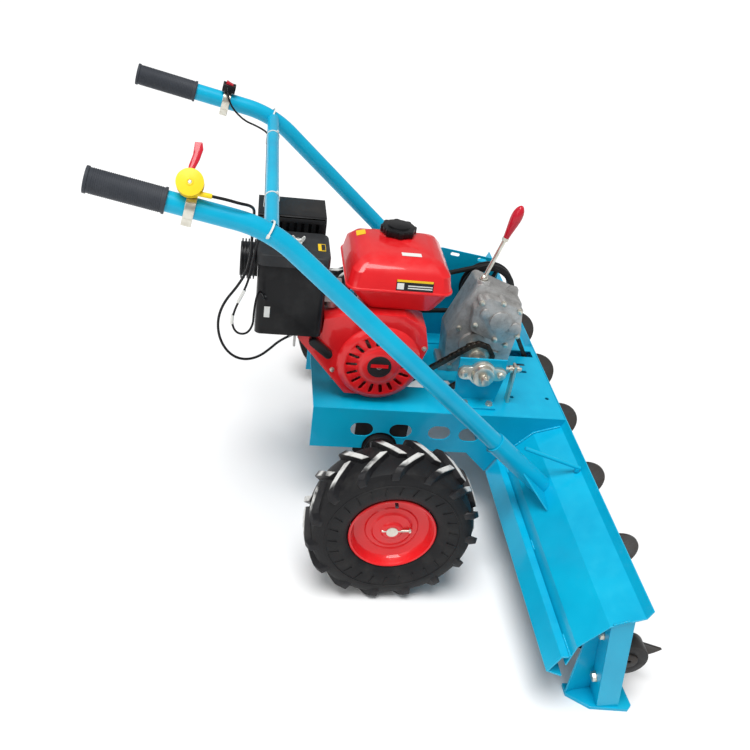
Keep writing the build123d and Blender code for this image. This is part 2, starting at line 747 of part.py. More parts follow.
with BuildPart() as crankshaft:
    bar_y(CRANK_X, CRANK_Z, CRANK_R, -116, 178)
    bar_y(CRANK_X, CRANK_Z, 16, -124, -110.2)
finish(crankshaft, "crankshaft")


def grooved_pulley(x, z, radius, bore, rim, spokes):
    """A V-belt pulley at the belt's plane: a grooved rim on a hub, with a solid web or spokes."""
    bar_y(x, z, radius, BELT_Y - 12, BELT_Y + 12)
    with BuildSketch(Plane(origin=(x, BELT_Y, z), x_dir=(1, 0, 0), z_dir=(0, 0, 1))) as groove:
        with BuildLine():
            Polyline((radius + 2, -8), (radius + 2, 8), (radius - 11, 6.5), (radius - 11, -6.5), close=True)
        make_face()
    revolve(groove.sketch, axis=Axis((x, 0, z), (0, 1, 0)), mode=Mode.SUBTRACT)
    if spokes:
        bar_y(x, z, radius - rim, BELT_Y - 13, BELT_Y + 13, Mode.SUBTRACT)
        bar_y(x, z, 24, BELT_Y - 12, BELT_Y + 12)
        for spoke in range(spokes):
            angle = radians(360 / spokes * spoke + 12)
            tip = (x + (radius - rim + 2) * cos(angle), BELT_Y, z + (radius - rim + 2) * sin(angle))
            bar((x, BELT_Y, z), tip, 5)
    bar_y(x, z, bore + RUN_GAP, BELT_Y - 13, BELT_Y + 13, Mode.SUBTRACT)


with BuildPart() as engine_pulley:
    grooved_pulley(CRANK_X, CRANK_Z, ENGINE_PULLEY_R, CRANK_R, 0, 0)
finish(engine_pulley, "engine_pulley")


def tank_ring(x_low, x_high, y_low, y_high, z, corner):
    """One level of the tank: a rounded rectangle at a height."""
    with BuildSketch(Plane.XY.offset(z)) as level:
        with Locations(((x_low + x_high) / 2, (y_low + y_high) / 2)):
            RectangleRounded(x_high - x_low, y_high - y_low, corner)
    return level.sketch


CAP_X = 34.0
CAP_Y = 50.0
TANK_TOP = 642.0


def tank_body(inset):
    """The tank's closed shape, drawn in on every side by the inset."""
    levels = [
        tank_ring(-42 + inset, 118 - inset, -104 + inset, 74 - inset, 528 + inset, 26 - inset),
        tank_ring(-88 + inset, 144 - inset, -127 + inset, 97 - inset, TANK_SEAM_Z, 26 - inset),
        tank_ring(-80 + inset, 138 - inset, -118 + inset, 92 - inset, 618 - inset, 24 - inset),
        tank_ring(-64 + inset, 124 - inset, -98 + inset, 78 - inset, 634 - inset, 20 - inset),
        tank_ring(-40 + inset, 104 - inset, -74 + inset, 60 - inset, TANK_TOP - inset, 14 - inset),
    ]
    with BuildPart() as shape:
        for lower, upper in zip(levels, levels[1:]):
            loft([lower, upper])
    return shape.part


tank_outside = tank_body(0)
tank_inside = tank_body(2.5)
with BuildPart() as fuel_tank:
    add(tank_outside)
    extrude(tank_ring(-91, 147, -130, 100, TANK_SEAM_Z - 2.5, 28), amount=5)
    bar((CAP_X, CAP_Y, 625), (CAP_X, CAP_Y, TANK_TOP + 3), 27)
    add(tank_inside, mode=Mode.SUBTRACT)
    bar((CAP_X, CAP_Y, 600), (CAP_X, CAP_Y, TANK_TOP + 5), 20, Mode.SUBTRACT)
finish(fuel_tank, "fuel_tank")

with BuildPart() as fuel_cap:
    with BuildSketch(Plane.XY.offset(TANK_TOP + 3.4)) as lobes:
        with Locations((CAP_X, CAP_Y)):
            Circle(38)
            with PolarLocations(34, 8):
                Circle(8)
    extrude(lobes.sketch, amount=14)
    bar((CAP_X, CAP_Y, TANK_TOP + 17.4), (CAP_X, CAP_Y, TANK_TOP + 22), 26)
    bar((CAP_X, CAP_Y, TANK_TOP - 8), (CAP_X, CAP_Y, TANK_TOP + 3.4), 19)
finish(fuel_cap, "fuel_cap")

# air cleaner, silencer and carburettor on the engine's rear side
CLEANER_LOW = (-280.0, -150.0, 470.0)
CLEANER_HIGH = (-135.0, -30.0, 634.0)
NUT_X = -199.0
NUT_Y = -86.0
with BuildPart() as air_cleaner_case:
    block(CLEANER_LOW, CLEANER_HIGH)
    fillet(air_cleaner_case.edges().filter_by(Axis.Z), 14)
    block((-276, -146, 480), (-139, -34, 640), Mode.SUBTRACT)
    bar((NUT_X, NUT_Y, 474), (NUT_X, NUT_Y, 636), 6)
    # grommet where the stop wire goes in
    bar((-263, -156, 563), (-260, -145, 553), 4)
    block((-276, -145.5, 480), (-230, -34, 600), Mode.SUBTRACT)
finish(air_cleaner_case, "air_cleaner_case")

with BuildPart() as air_cleaner_lid:
    block((-284, -154, 634.4), (-131, -26, 660))
    fillet(air_cleaner_lid.edges().filter_by(Axis.Z), 18)
    fillet(air_cleaner_lid.faces().sort_by(Axis.Z)[-1].edges(), 5)
    block((-278, -148, 634), (-137, -32, 655), Mode.SUBTRACT)
    bar((NUT_X, NUT_Y, 633), (NUT_X, NUT_Y, 662), 6.3, Mode.SUBTRACT)
finish(air_cleaner_lid, "air_cleaner_lid")

with BuildPart() as wing_nut:
    bar((NUT_X, NUT_Y, 660.6), (NUT_X, NUT_Y, 667), 9)
    block((NUT_X - 15, NUT_Y - 2.5, 664), (NUT_X + 15, NUT_Y + 2.5, 677))
finish(wing_nut, "wing_nut")

with BuildPart() as intake_cap:
    bar((-318, -100, 622), (-281, -100, 622), 36)
    for rib in range(5):
        rib_x = -316 + rib * 6.5
        bar((rib_x, -100, 622), (rib_x + 3.2, -100, 622), 42)
    block((-330, -150, 660 - 0.4), (-270, -40, 680), Mode.SUBTRACT)
    block((-285, -154, 634), (-270, -26, 665), Mode.SUBTRACT)
finish(intake_cap, "intake_cap")

with BuildPart() as muffler:
    block((-268, 2, 566), (-148, 82, 672))
    fillet(muffler.edges().filter_by(Axis.X), 22)
    bar((-160, 36, 524), (-160, 36, 568), 13)
finish(muffler, "muffler")

with BuildPart() as muffler_guard:
    block((-286, -20, 560), (-137, 98, 690))
    fillet(muffler_guard.edges().filter_by(Axis.X), 12)
    block((-283.5, -17.5, 550), (-139.5, 95.5, 687.5), Mode.SUBTRACT)
    # upright cooling slots on the near and far faces
    for slot in range(8):
        slot_x = -272 + slot * 16
        block((slot_x, -25, 600), (slot_x + 7, 105, 676), Mode.SUBTRACT)
finish(muffler_guard, "muffler_guard")

with BuildPart() as carburettor:
    block((-134, -100, 532), (-96, -64, 574))
    bar((-134.6, -82, 552), (-96, -82, 552), 15)
    bar((-115, -82, 516), (-115, -82, 532), 15)
    # throttle cable's anchor
    block((-194, -146, 440), (-189, -131, 469))
    bar((-206, -143, 463), (-193.1, -134.8, 466.4), 3.2)
finish(carburettor, "carburettor")

# ---------------------------------------------------------------- gearbox

GEARBOX_OUTLINE = [
    (196, 300),
    (352, 300),
    (364, 420),
    (356, 502),
    (243, 544),
    (226, 500),
    (188, 400),
]
with BuildPart() as gearbox_case:
    slab(GEARBOX_OUTLINE, GEARBOX_NEAR, GEARBOX_FAR, corner=12)
    block((184, GEARBOX_NEAR, DECK_TOP), (366, GEARBOX_FAR, DECK_TOP + 14))
    with BuildSketch(across(GEARBOX_FAR - 7)) as cavity:
        with BuildLine():
            Polyline(*GEARBOX_OUTLINE, close=True)
        make_face()
        offset(amount=-7, kind=Kind.INTERSECTION)
    extrude(cavity.sketch, amount=GEARBOX_FAR - GEARBOX_NEAR - 14, mode=Mode.SUBTRACT)
    for boss_x, boss_z, boss_r in ((OUTPUT_X, OUTPUT_Z, 34), (INPUT_X, INPUT_Z, 30), (344, 444, 14)):
        bar_y(boss_x, boss_z, boss_r, GEARBOX_FAR, GEARBOX_FAR + 8)
    bar_y(OUTPUT_X, OUTPUT_Z, 34, GEARBOX_NEAR - 10, GEARBOX_NEAR)
    # stiffening ribs on the near face
    for rib_x, rib_z in ((204, 340), (216, 318), (312, 330), (326, 356)):
        away = Vector(rib_x - OUTPUT_X, 0, rib_z - OUTPUT_Z).normalized()
        bar(
            (OUTPUT_X + 32 * away.X, GEARBOX_NEAR, OUTPUT_Z + 32 * away.Z),
            (rib_x, GEARBOX_NEAR, rib_z),
            4,
        )
    # cup for the gear lever's ball, and a lifting ear
    bar((LEVER_X, LEVER_Y, 532), (LEVER_X, LEVER_Y, LEVER_Z - 2), 17)
    with Locations((LEVER_X, LEVER_Y, LEVER_Z)):
        Sphere(11, mode=Mode.SUBTRACT)
    bar((LEVER_X, LEVER_Y, 500), (LEVER_X, LEVER_Y, LEVER_Z), 6, Mode.SUBTRACT)
    slab([(318, 512), (352, 500), (350, 522), (330, 526)], 50, 62, corner=4)
    for bore_x, bore_z in ((OUTPUT_X, OUTPUT_Z), (INPUT_X, INPUT_Z)):
        bar_y(bore_x, bore_z, SHAFT_R + RUN_GAP, -40, 130, Mode.SUBTRACT)
finish(gearbox_case, "gearbox_case")

COVER_SCREWS = ((250, 508), (244, 446), (300, 410), (354, 424), (346, 492), (302, 510))
with BuildPart() as gearbox_cover:
    slab([(236, 430), (318, 398), (362, 424), (352, 496), (262, 522), (234, 490)], -8, GEARBOX_NEAR, corner=14)
    for boss_x, boss_z, boss_r in ((INPUT_X, INPUT_Z, 27), (344, 444, 15), (262, 480, 12)):
        bar_y(boss_x, boss_z, boss_r, -13, -8)
    for screw_x, screw_z in COVER_SCREWS:
        bar_y(screw_x, screw_z, 8, -8, GEARBOX_NEAR)
    # keep clear of the output boss, and bore for the input shaft's end
    bar_y(OUTPUT_X, OUTPUT_Z, 35, -15, 21, Mode.SUBTRACT)
    bar_y(INPUT_X, INPUT_Z, SHAFT_R + RUN_GAP, -9, 21, Mode.SUBTRACT)
finish(gearbox_cover, "gearbox_cover")


def gear_blank(x, z, radius, y_low, y_high, teeth):
    """A plain spur gear: a disc with square teeth."""
    bar_y(x, z, radius - 5, y_low, y_high)
    with BuildSketch(across(y_high)) as tooth_ring:
        with Locations((x, z)):
            with PolarLocations(radius - 4, teeth):
                Rectangle(8, pi * radius / teeth * 0.9)
    extrude(tooth_ring.sketch, amount=y_high - y_low)


with BuildPart() as input_shaft:
    bar_y(INPUT_X, INPUT_Z, SHAFT_R, -8, 180)
    sprocket(INPUT_X, INPUT_Z, AUGER_CHAIN_Y, INPUT_TEETH)
    bar_y(INPUT_X, INPUT_Z, 17, AUGER_CHAIN_Y - 14, AUGER_CHAIN_Y)
    gear_blank(INPUT_X, INPUT_Z, 28, 30, 50, 16)
finish(input_shaft, "input_shaft")

with BuildPart() as input_pulley:
    grooved_pulley(INPUT_X, INPUT_Z, INPUT_PULLEY_R, SHAFT_R, 16, 6)
finish(input_pulley, "input_pulley")

STUB_R = 9.5
STUB_SHOULDER_Y = -132.5
with BuildPart() as output_shaft:
    bar_y(OUTPUT_X, OUTPUT_Z, SHAFT_R, STUB_SHOULDER_Y, 106)
    bar_y(OUTPUT_X, OUTPUT_Z, STUB_R, -152, STUB_SHOULDER_Y)
    sprocket(OUTPUT_X, OUTPUT_Z, DRIVE_CHAIN_Y, OUTPUT_TEETH)
    bar_y(OUTPUT_X, OUTPUT_Z, 20, DRIVE_CHAIN_Y - 18, DRIVE_CHAIN_Y)
    gear_blank(OUTPUT_X, OUTPUT_Z, 54, 60, 84, 32)
    # keyway in the free end
    block((OUTPUT_X - 3, -160, OUTPUT_Z + 6.5), (OUTPUT_X + 3, -137, OUTPUT_Z + 12), Mode.SUBTRACT)
finish(output_shaft, "output_shaft")

# outboard bearing of the output shaft on its bracket
BRACKET_Y = -106.0
with BuildPart() as flange_bearing:
    with BuildSketch(across(BRACKET_Y)) as flange:
        with Locations((OUTPUT_X, OUTPUT_Z)):
            SlotOverall(116, 34)
            Circle(32)
            Circle(SHAFT_R + RUN_GAP, mode=Mode.SUBTRACT)
    extrude(flange.sketch, amount=11)
    with BuildSketch(across(BRACKET_Y - 11)) as housing:
        with Locations((OUTPUT_X, OUTPUT_Z)):
            Circle(26)
            Circle(SHAFT_R + RUN_GAP, mode=Mode.SUBTRACT)
    extrude(housing.sketch, amount=14)
finish(flange_bearing, "flange_bearing")

with BuildPart() as bearing_bracket:
    slab(
        [(204, DECK_TOP), (302, DECK_TOP), (312, 352), (312, 412), (198, 412), (198, 352)],
        BRACKET_Y,
        BRACKET_Y + 5,
    )
    bar_y(OUTPUT_X, OUTPUT_Z, 23, BRACKET_Y - 1, BRACKET_Y + 6, Mode.SUBTRACT)
    block((208, -142, DECK_TOP), (298, BRACKET_Y + 2, DECK_TOP + 5))
finish(bearing_bracket, "bearing_bracket")

with BuildPart() as chain_adjuster:
    bar((312.4, -98, 385), (352, -98, 385), 5)
    bar((322, -98, 385), (330, -98, 385), 9)
    bar((340, -98, 385), (346, -98, 385), 9)
    block((332, -108, DECK_TOP), (338, -88, 397))
finish(chain_adjuster, "chain_adjuster")

KNOB_FOOT = Vector(LEVER_X + 31, LEVER_Y, 657)
KNOB_TOP = Vector(LEVER_X + 52, LEVER_Y, 738)
with BuildPart() as shift_lever:
    with Locations((LEVER_X, LEVER_Y, LEVER_Z)):
        Sphere(10)
    bar((LEVER_X, LEVER_Y, LEVER_Z), KNOB_FOOT, 5)
    with BuildSketch(Plane(origin=KNOB_FOOT, z_dir=KNOB_TOP - KNOB_FOOT)) as knob_foot:
        Circle(7)
    with BuildSketch(Plane(origin=KNOB_FOOT + (KNOB_TOP - KNOB_FOOT) * 0.62, z_dir=KNOB_TOP - KNOB_FOOT)) as knob_wide:
        Circle(13.5)
    with BuildSketch(Plane(origin=KNOB_TOP, z_dir=KNOB_TOP - KNOB_FOOT)) as knob_top:
        Circle(6)
    loft([knob_foot.sketch, knob_wide.sketch, knob_top.sketch])
finish(shift_lever, "shift_lever")

# ---------------------------------------------------------------- belt, chains and guard

with BuildPart() as drive_belt:
    band(
        (CRANK_X, CRANK_Z),
        ENGINE_PULLEY_R - 5.5,
        (INPUT_X, INPUT_Z),
        INPUT_PULLEY_R - 5.5,
        4,
        BELT_Y - 6,
        BELT_Y + 6,
    )
finish(drive_belt, "drive_belt")

with BuildPart() as drive_chain:
    chain_plates((OUTPUT_X, OUTPUT_Z), OUTPUT_TEETH, (AXLE_X, TYRE_R), AXLE_TEETH, DRIVE_CHAIN_Y)
finish(drive_chain, "drive_chain")

with BuildPart() as auger_chain:
    chain_plates((INPUT_X, INPUT_Z), INPUT_TEETH, (AUGER_X, AUGER_Z), AUGER_TEETH, AUGER_CHAIN_Y)
finish(auger_chain, "auger_chain")

GUARD_Y = 196.0
with BuildPart() as belt_guard:
    slab(
        [(-40, DECK_TOP), (-40, 410), (70, 505), (179, 548), (319, 528), (336, 496), (336, DECK_TOP)],
        GUARD_Y,
        GUARD_Y + SHEET,
        corner=8,
    )
    with BuildSketch(across(GUARD_Y + SHEET + 1)) as guard_slots:
        with Locations((215, 532), (287, 522)):
            SlotOverall(24, 9, rotation=-8)
        with Locations((CRANK_X, CRANK_Z)):
            Circle(16)
    extrude(guard_slots.sketch, amount=SHEET + 2, mode=Mode.SUBTRACT)
    block((-30, 146, DECK_TOP), (300, GUARD_Y, DECK_TOP + SHEET))
finish(belt_guard, "belt_guard")

# ---------------------------------------------------------------- fasteners


def bolt_places():
    """Every screw head on the frame: its seat, the way it points and its size across corners / 2."""
    seats = []
    for side in SIDES.values():
        flange_y = side * (POST_NEAR - 28)
        lean_up = Vector(-POST_LEAN, 0, 1) / LEAN_LENGTH
        back = Vector(-1, 0, -POST_LEAN) / LEAN_LENGTH
        rear_face = Vector(post_x(AUGER_Z), flange_y, AUGER_Z) + back * (0.1)
        foot_of_axis = rear_face - lean_up * ((AUGER_X - post_x(AUGER_Z)) * POST_LEAN / LEAN_LENGTH)
        for step in (-BEARING_BOLT, BEARING_BOLT):
            seats.append((foot_of_axis + lean_up * step, back, 10))
        for hole_x, hole_z in ((-18, 262), (78, 262), (-4, 150), (64, 150)):
            seats.append((Vector(hole_x, side * (DECK_HALF - 6), hole_z), Vector(0, -side, 0), 7))
    for foot_x, foot_y in ((-82, -40), (-82, 56)):
        seats.append((Vector(foot_x, foot_y, DECK_TOP + 12), Vector(0, 0, 1), 7))
    for foot_x in (224, 284):
        seats.append((Vector(foot_x, -126, DECK_TOP + 5), Vector(0, 0, 1), 8))
    for bolt_x in (OUTPUT_X - 45, OUTPUT_X + 45):
        seats.append((Vector(bolt_x, BRACKET_Y - 11, OUTPUT_Z), Vector(0, -1, 0), 8))
    for screw_x, screw_z in COVER_SCREWS:
        seats.append((Vector(screw_x, -8, screw_z), Vector(0, -1, 0), 6))
    for screw_x, screw_z in ((210, 310), (300, 310), (214, 420), (340, 380)):
        seats.append((Vector(screw_x, GEARBOX_NEAR, screw_z), Vector(0, -1, 0), 6))
    for screw_x, screw_z in ((-100, 376), (102, 446), (-52, 512)):
        seats.append((Vector(screw_x, FAN_FRONT, screw_z), Vector(0, -1, 0), 5))
    return seats


with BuildPart() as bolts:
    for seat, direction, size in bolt_places():
        with BuildSketch(Plane(origin=seat, z_dir=direction)) as washer:
            Circle(size * 1.1)
        extrude(washer.sketch, amount=1.5)
        with BuildSketch(Plane(origin=seat + direction * 1.5, z_dir=direction)) as head:
            RegularPolygon(size, 6)
        extrude(head.sketch, amount=size * 0.65)
finish(bolts, "bolts")

# ---------------------------------------------------------------- cable and wire


def arc_radii(points, diameter):
    """Each corner's radius on a cord's route: 0.45 of its shorter run over the tangent of half the turn."""
    radii = []
    for before, corner, after in zip(points, points[1:], points[2:]):
        run_in = Vector(*corner) - Vector(*before)
        run_out = Vector(*after) - Vector(*corner)
        turn = run_in.get_angle(run_out)
        radii.append(0.45 * min(run_in.length, run_out.length) / tan(radians(turn / 2)))
    print(f"smallest radius {min(radii):.0f} mm, or {min(radii) / diameter:.1f} diameters")
    return radii


def cord(points, diameter, name):
    """A cord's plain tube: straight runs joined by tangent arcs."""
    with BuildPart() as tube:
        with BuildLine() as route:
            FilletPolyline(*points, radius=arc_radii(points, diameter))
        with BuildSketch(Plane(origin=route.line @ 0, z_dir=route.line % 0)):
            Circle(diameter / 2)
        sweep()
    length = route.wires()[0].length
    ideal = pi * diameter**2 / 4 * length
    print(f"{name}: length {length:.0f} mm, volume ratio {tube.part.volume / ideal:.4f}")
    finish(tube, name)


CABLE_D = 5.5
CABLE_ROUTE = [
    (-368, -343, 854),
    (-345, -343, 851),
    (-320, -342, 845),
    (-302, -330, 838),
    (-294, -309, 822),
    (-296, -292, 794),
    (-296, -277, 756),
    (-296, -265, 712),
    (-303, -254, 668),
    (-320, -246, 630),
    (-341, -240, 596),
    (-353, -233, 560),
    (-355, -226, 524),
    (-349, -218, 490),
    (-336, -210, 460),
    (-316, -202, 438),
    (-291, -192, 428),
    (-265, -181, 432),
    (-243, -169, 446),
    (-225, -155, 458),
    (-206, -143, 463),
]
cord(CABLE_ROUTE, CABLE_D, "throttle_cable")

WIRE_D = 4.5
WIRE_ROUTE = [
    (-372, 312, 846),
    (-370, 301, 836),
    (-358, 292, 814),
    (-330, 289, 790),
    (-300, 287, 781),
    (-274, 262, 776),
    (-274, -262, 776),
    (-280, -289, 764),
    (-288, -284, 735),
    (-293, -272, 695),
    (-299, -262, 650),
    (-312, -256, 612),
    (-323, -255, 580),
    (-327, -254, 553),
    (-317, -253, 529),
    (-296, -251, 527),
    (-284, -248, 547),
    (-284, -240, 573),
    (-281, -225, 597),
    (-276, -204, 602),
    (-270, -182, 588),
    (-266, -167, 573),
    (-263, -156, 563),
]
cord(WIRE_ROUTE, WIRE_D, "stop_wire")
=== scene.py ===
import json
import math

import bmesh
import bpy
from mathutils import Matrix, Vector
from mathutils.bvhtree import BVHTree


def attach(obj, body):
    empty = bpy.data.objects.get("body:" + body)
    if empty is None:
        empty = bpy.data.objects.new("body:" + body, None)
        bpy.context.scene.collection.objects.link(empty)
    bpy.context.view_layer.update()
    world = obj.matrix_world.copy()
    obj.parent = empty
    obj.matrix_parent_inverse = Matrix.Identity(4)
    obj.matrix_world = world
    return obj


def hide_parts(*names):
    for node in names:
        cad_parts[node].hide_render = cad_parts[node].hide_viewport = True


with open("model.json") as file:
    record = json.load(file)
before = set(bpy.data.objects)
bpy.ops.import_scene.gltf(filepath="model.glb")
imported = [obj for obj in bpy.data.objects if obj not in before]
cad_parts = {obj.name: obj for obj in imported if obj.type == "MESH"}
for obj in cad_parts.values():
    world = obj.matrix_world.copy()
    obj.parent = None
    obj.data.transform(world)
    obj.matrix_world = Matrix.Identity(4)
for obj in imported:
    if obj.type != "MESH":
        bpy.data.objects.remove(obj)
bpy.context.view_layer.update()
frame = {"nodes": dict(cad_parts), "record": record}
record = frame["record"]
nodes = frame["nodes"]
BODY_OF = {node: body for body, members in record["behaviour"]["bodies"].items() for node in members}
SLOT_OF = {part["node"]: part["material_slot"] for part in record["subparts"]}
TURN = 2 * math.pi
CAMERA_PLACE = (-0.2958, -1.7730, 1.4453)
CAMERA_RIGHT = (0.9872, -0.0925, 0.1300)
CAMERA_BACK = (-0.1489, -0.8267, 0.5426)
CAMERA_LENS = 41.63
FLOOR_HALF_WIDTH = 14.0
ROOM_LIGHT = 0.36
BACKDROP_LIGHT = 1.0

# ---------------------------------------------------------------- camera and lamps


def place_camera():
    """The camera stands behind and to the right of the machine, looking down at it."""
    right = Vector(CAMERA_RIGHT)
    back = Vector(CAMERA_BACK)
    up = back.cross(right)
    data = bpy.data.cameras.new("camera")
    data.lens = CAMERA_LENS
    data.sensor_width = 36
    camera = bpy.data.objects.new("camera", data)
    turned = Matrix((right, up, back)).transposed().to_4x4()
    camera.matrix_world = Matrix.Translation(CAMERA_PLACE) @ turned
    bpy.context.scene.collection.objects.link(camera)
    bpy.context.scene.camera = camera


def lamp(kind, name, place, target, power, size):
    """A soft lamp aimed at a point: a wide panel, or a sun with a wide disc."""
    data = bpy.data.lights.new(name, kind)
    data.energy = power
    if kind == "SUN":
        data.angle = math.radians(size)
    else:
        data.size = size
    light = bpy.data.objects.new(name, data)
    light.location = place
    light.rotation_euler = (Vector(target) - Vector(place)).to_track_quat("-Z", "Y").to_euler()
    bpy.context.scene.collection.objects.link(light)


# ---------------------------------------------------------------- shader expressions


class Field:
    """A number or colour that varies over a surface, with ordinary arithmetic."""

    def __init__(self, finish, socket):
        self.finish = finish
        self.socket = socket

    def _math(self, operation, first, second):
        return self.finish.node("ShaderNodeMath", {"operation": operation}, {0: first, 1: second})

    def __add__(self, other):
        return self._math("ADD", self, other)

    def __radd__(self, other):
        return self._math("ADD", other, self)

    def __sub__(self, other):
        return self._math("SUBTRACT", self, other)

    def __rsub__(self, other):
        return self._math("SUBTRACT", other, self)

    def __mul__(self, other):
        return self._math("MULTIPLY", self, other)

    def __rmul__(self, other):
        return self._math("MULTIPLY", other, self)


class Finish:
    """One material and the shader at its end."""

    def __init__(self, name, roughness=0.5, metallic=0.0, coat=0.0, specular=0.5):
        self.material = bpy.data.materials.new(name)
        self.material.use_nodes = True
        self.tree = self.material.node_tree
        self.shader = self.tree.nodes["Principled BSDF"]
        self.shader.inputs["Roughness"].default_value = roughness
        self.shader.inputs["Metallic"].default_value = metallic
        self.shader.inputs["Coat Weight"].default_value = coat
        self.shader.inputs["Specular IOR Level"].default_value = specular
        self.place = self.node("ShaderNodeTexCoord", output="Object")

    def node(self, kind, settings=None, sockets=None, output=0):
        """Any node: its settings are set first, then the values or links of its sockets."""
        made = self.tree.nodes.new(kind)
        for key, value in (settings or {}).items():
            setattr(made, key, value)
        for key, value in (sockets or {}).items():
            self.feed(made.inputs[key], value)
        return Field(self, made.outputs[output])

    def feed(self, socket, value):
        """Link a field to a socket, or set the socket's own value."""
        if isinstance(value, Field):
            self.tree.links.new(value.socket, socket)
        else:
            socket.default_value = value

    def noise(self, scale, detail=3.0, roughness=0.55):
        """Soft cloudy variation, so many patches to the metre."""
        sockets = {"Vector": self.place, "Scale": scale, "Detail": detail, "Roughness": roughness}
        return self.node("ShaderNodeTexNoise", None, sockets)

    def step(self, field, low, high):
        """0 below low, 1 above high, and even in between."""
        sockets = {"Value": field, "From Min": low, "From Max": high}
        return self.node("ShaderNodeMapRange", {"clamp": True}, sockets)

    def mix(self, factor, first, second):
        """A colour between two colours."""
        sockets = {0: factor, 6: first, 7: second}
        return self.node("ShaderNodeMix", {"data_type": "RGBA"}, sockets, output=2)

    def facing_up(self):
        """How far the surface faces up, in the object's own frame."""
        normal = self.node("ShaderNodeTexCoord", output="Normal")
        return self.node("ShaderNodeSeparateXYZ", None, {0: normal}, output=2)

    def bump(self, height, distance, strength=1.0):
        """Relief of a height field, in metres."""
        sockets = {"Height": height, "Distance": distance, "Strength": strength}
        self.feed(self.shader.inputs["Normal"], self.node("ShaderNodeBump", None, sockets))

    def colour(self, value):
        self.feed(self.shader.inputs["Base Color"], value)

    def rough(self, value):
        self.feed(self.shader.inputs["Roughness"], value)


def rgb(red, green, blue):
    return (red, green, blue, 1.0)


def sprayed_paint(name, body, dusty, deep, coat):
    """Sprayed gloss paint over steel: slow changes of tone, fine orange peel, a little dust on top."""
    finish = Finish(name, coat=coat, specular=0.22)
    tone = finish.mix(finish.step(finish.noise(7.0), 0.35, 0.7), deep, body)
    specks = finish.step(finish.noise(260.0, 2.0), 0.66, 0.74)
    dust = finish.step(finish.facing_up(), 0.5, 1.0) * finish.step(finish.noise(38.0, 5.0), 0.45, 0.75)
    finish.colour(finish.mix(dust * 0.22 + specks * 0.12, tone, dusty))
    finish.rough(0.26 + finish.noise(55.0) * 0.14 + dust * 0.2)
    finish.bump(finish.noise(420.0, 2.0) + finish.noise(60.0) * 0.6, 0.0005, 0.25)
    return finish.material


def moulded(name, dark, light, roughness, grain=900.0, depth=0.0002, coat=0.0):
    """Moulded plastic or rubber with a fine grain and faint scuffs."""
    finish = Finish(name, coat=coat, specular=0.18)
    scuffs = finish.step(finish.noise(24.0, 6.0), 0.5, 0.8)
    finish.colour(finish.mix(scuffs * 0.5, dark, light))
    finish.rough(roughness + scuffs * 0.15)
    finish.bump(finish.noise(grain, 2.0), depth, 0.5)
    return finish.material


def bare_metal(name, light, dark, roughness, metallic, grain, depth):
    """Bare cast, plated or machined metal: grain, stains and uneven polish."""
    finish = Finish(name, metallic=metallic)
    stains = finish.step(finish.noise(30.0, 6.0), 0.42, 0.72)
    grime = finish.step(finish.noise(110.0, 4.0), 0.5, 0.75)
    finish.colour(finish.mix(stains * 0.6 + grime * 0.3, light, dark))
    finish.rough(roughness + stains * 0.15)
    finish.bump(finish.noise(grain, 4.0), depth, 0.6)
    return finish.material


def pale_topped_tread():
    """Tyre rubber whose lug tops are coloured pale, by their distance from the axle."""
    finish = Finish("tyre_tread", roughness=0.55, specular=0.25)
    parts = [finish.node("ShaderNodeSeparateXYZ", None, {0: finish.place}, output=index) for index in (0, 2)]
    across = parts[0] - 0.030
    up = parts[1] - 0.187
    squared = across * across + up * up
    # Pale colour on the lug tops farthest from the axle, broken up by noise; dark rubber elsewhere.
    pale_top_mask = finish.step(squared, 0.1838 ** 2, 0.1856 ** 2) * finish.step(finish.noise(16.0, 4.0), 0.36, 0.46)
    grime = finish.step(finish.noise(70.0, 5.0), 0.45, 0.7)
    pale = finish.mix(grime * 0.6, rgb(0.62, 0.62, 0.60), rgb(0.25, 0.24, 0.23))
    dark = finish.mix(grime * 0.4, rgb(0.010, 0.010, 0.012), rgb(0.035, 0.033, 0.030))
    finish.colour(finish.mix(pale_top_mask, dark, pale))
    finish.rough(0.42 + pale_top_mask * 0.3 + grime * 0.1)
    finish.bump(finish.noise(300.0, 3.0), 0.0006, 0.5)
    return finish.material


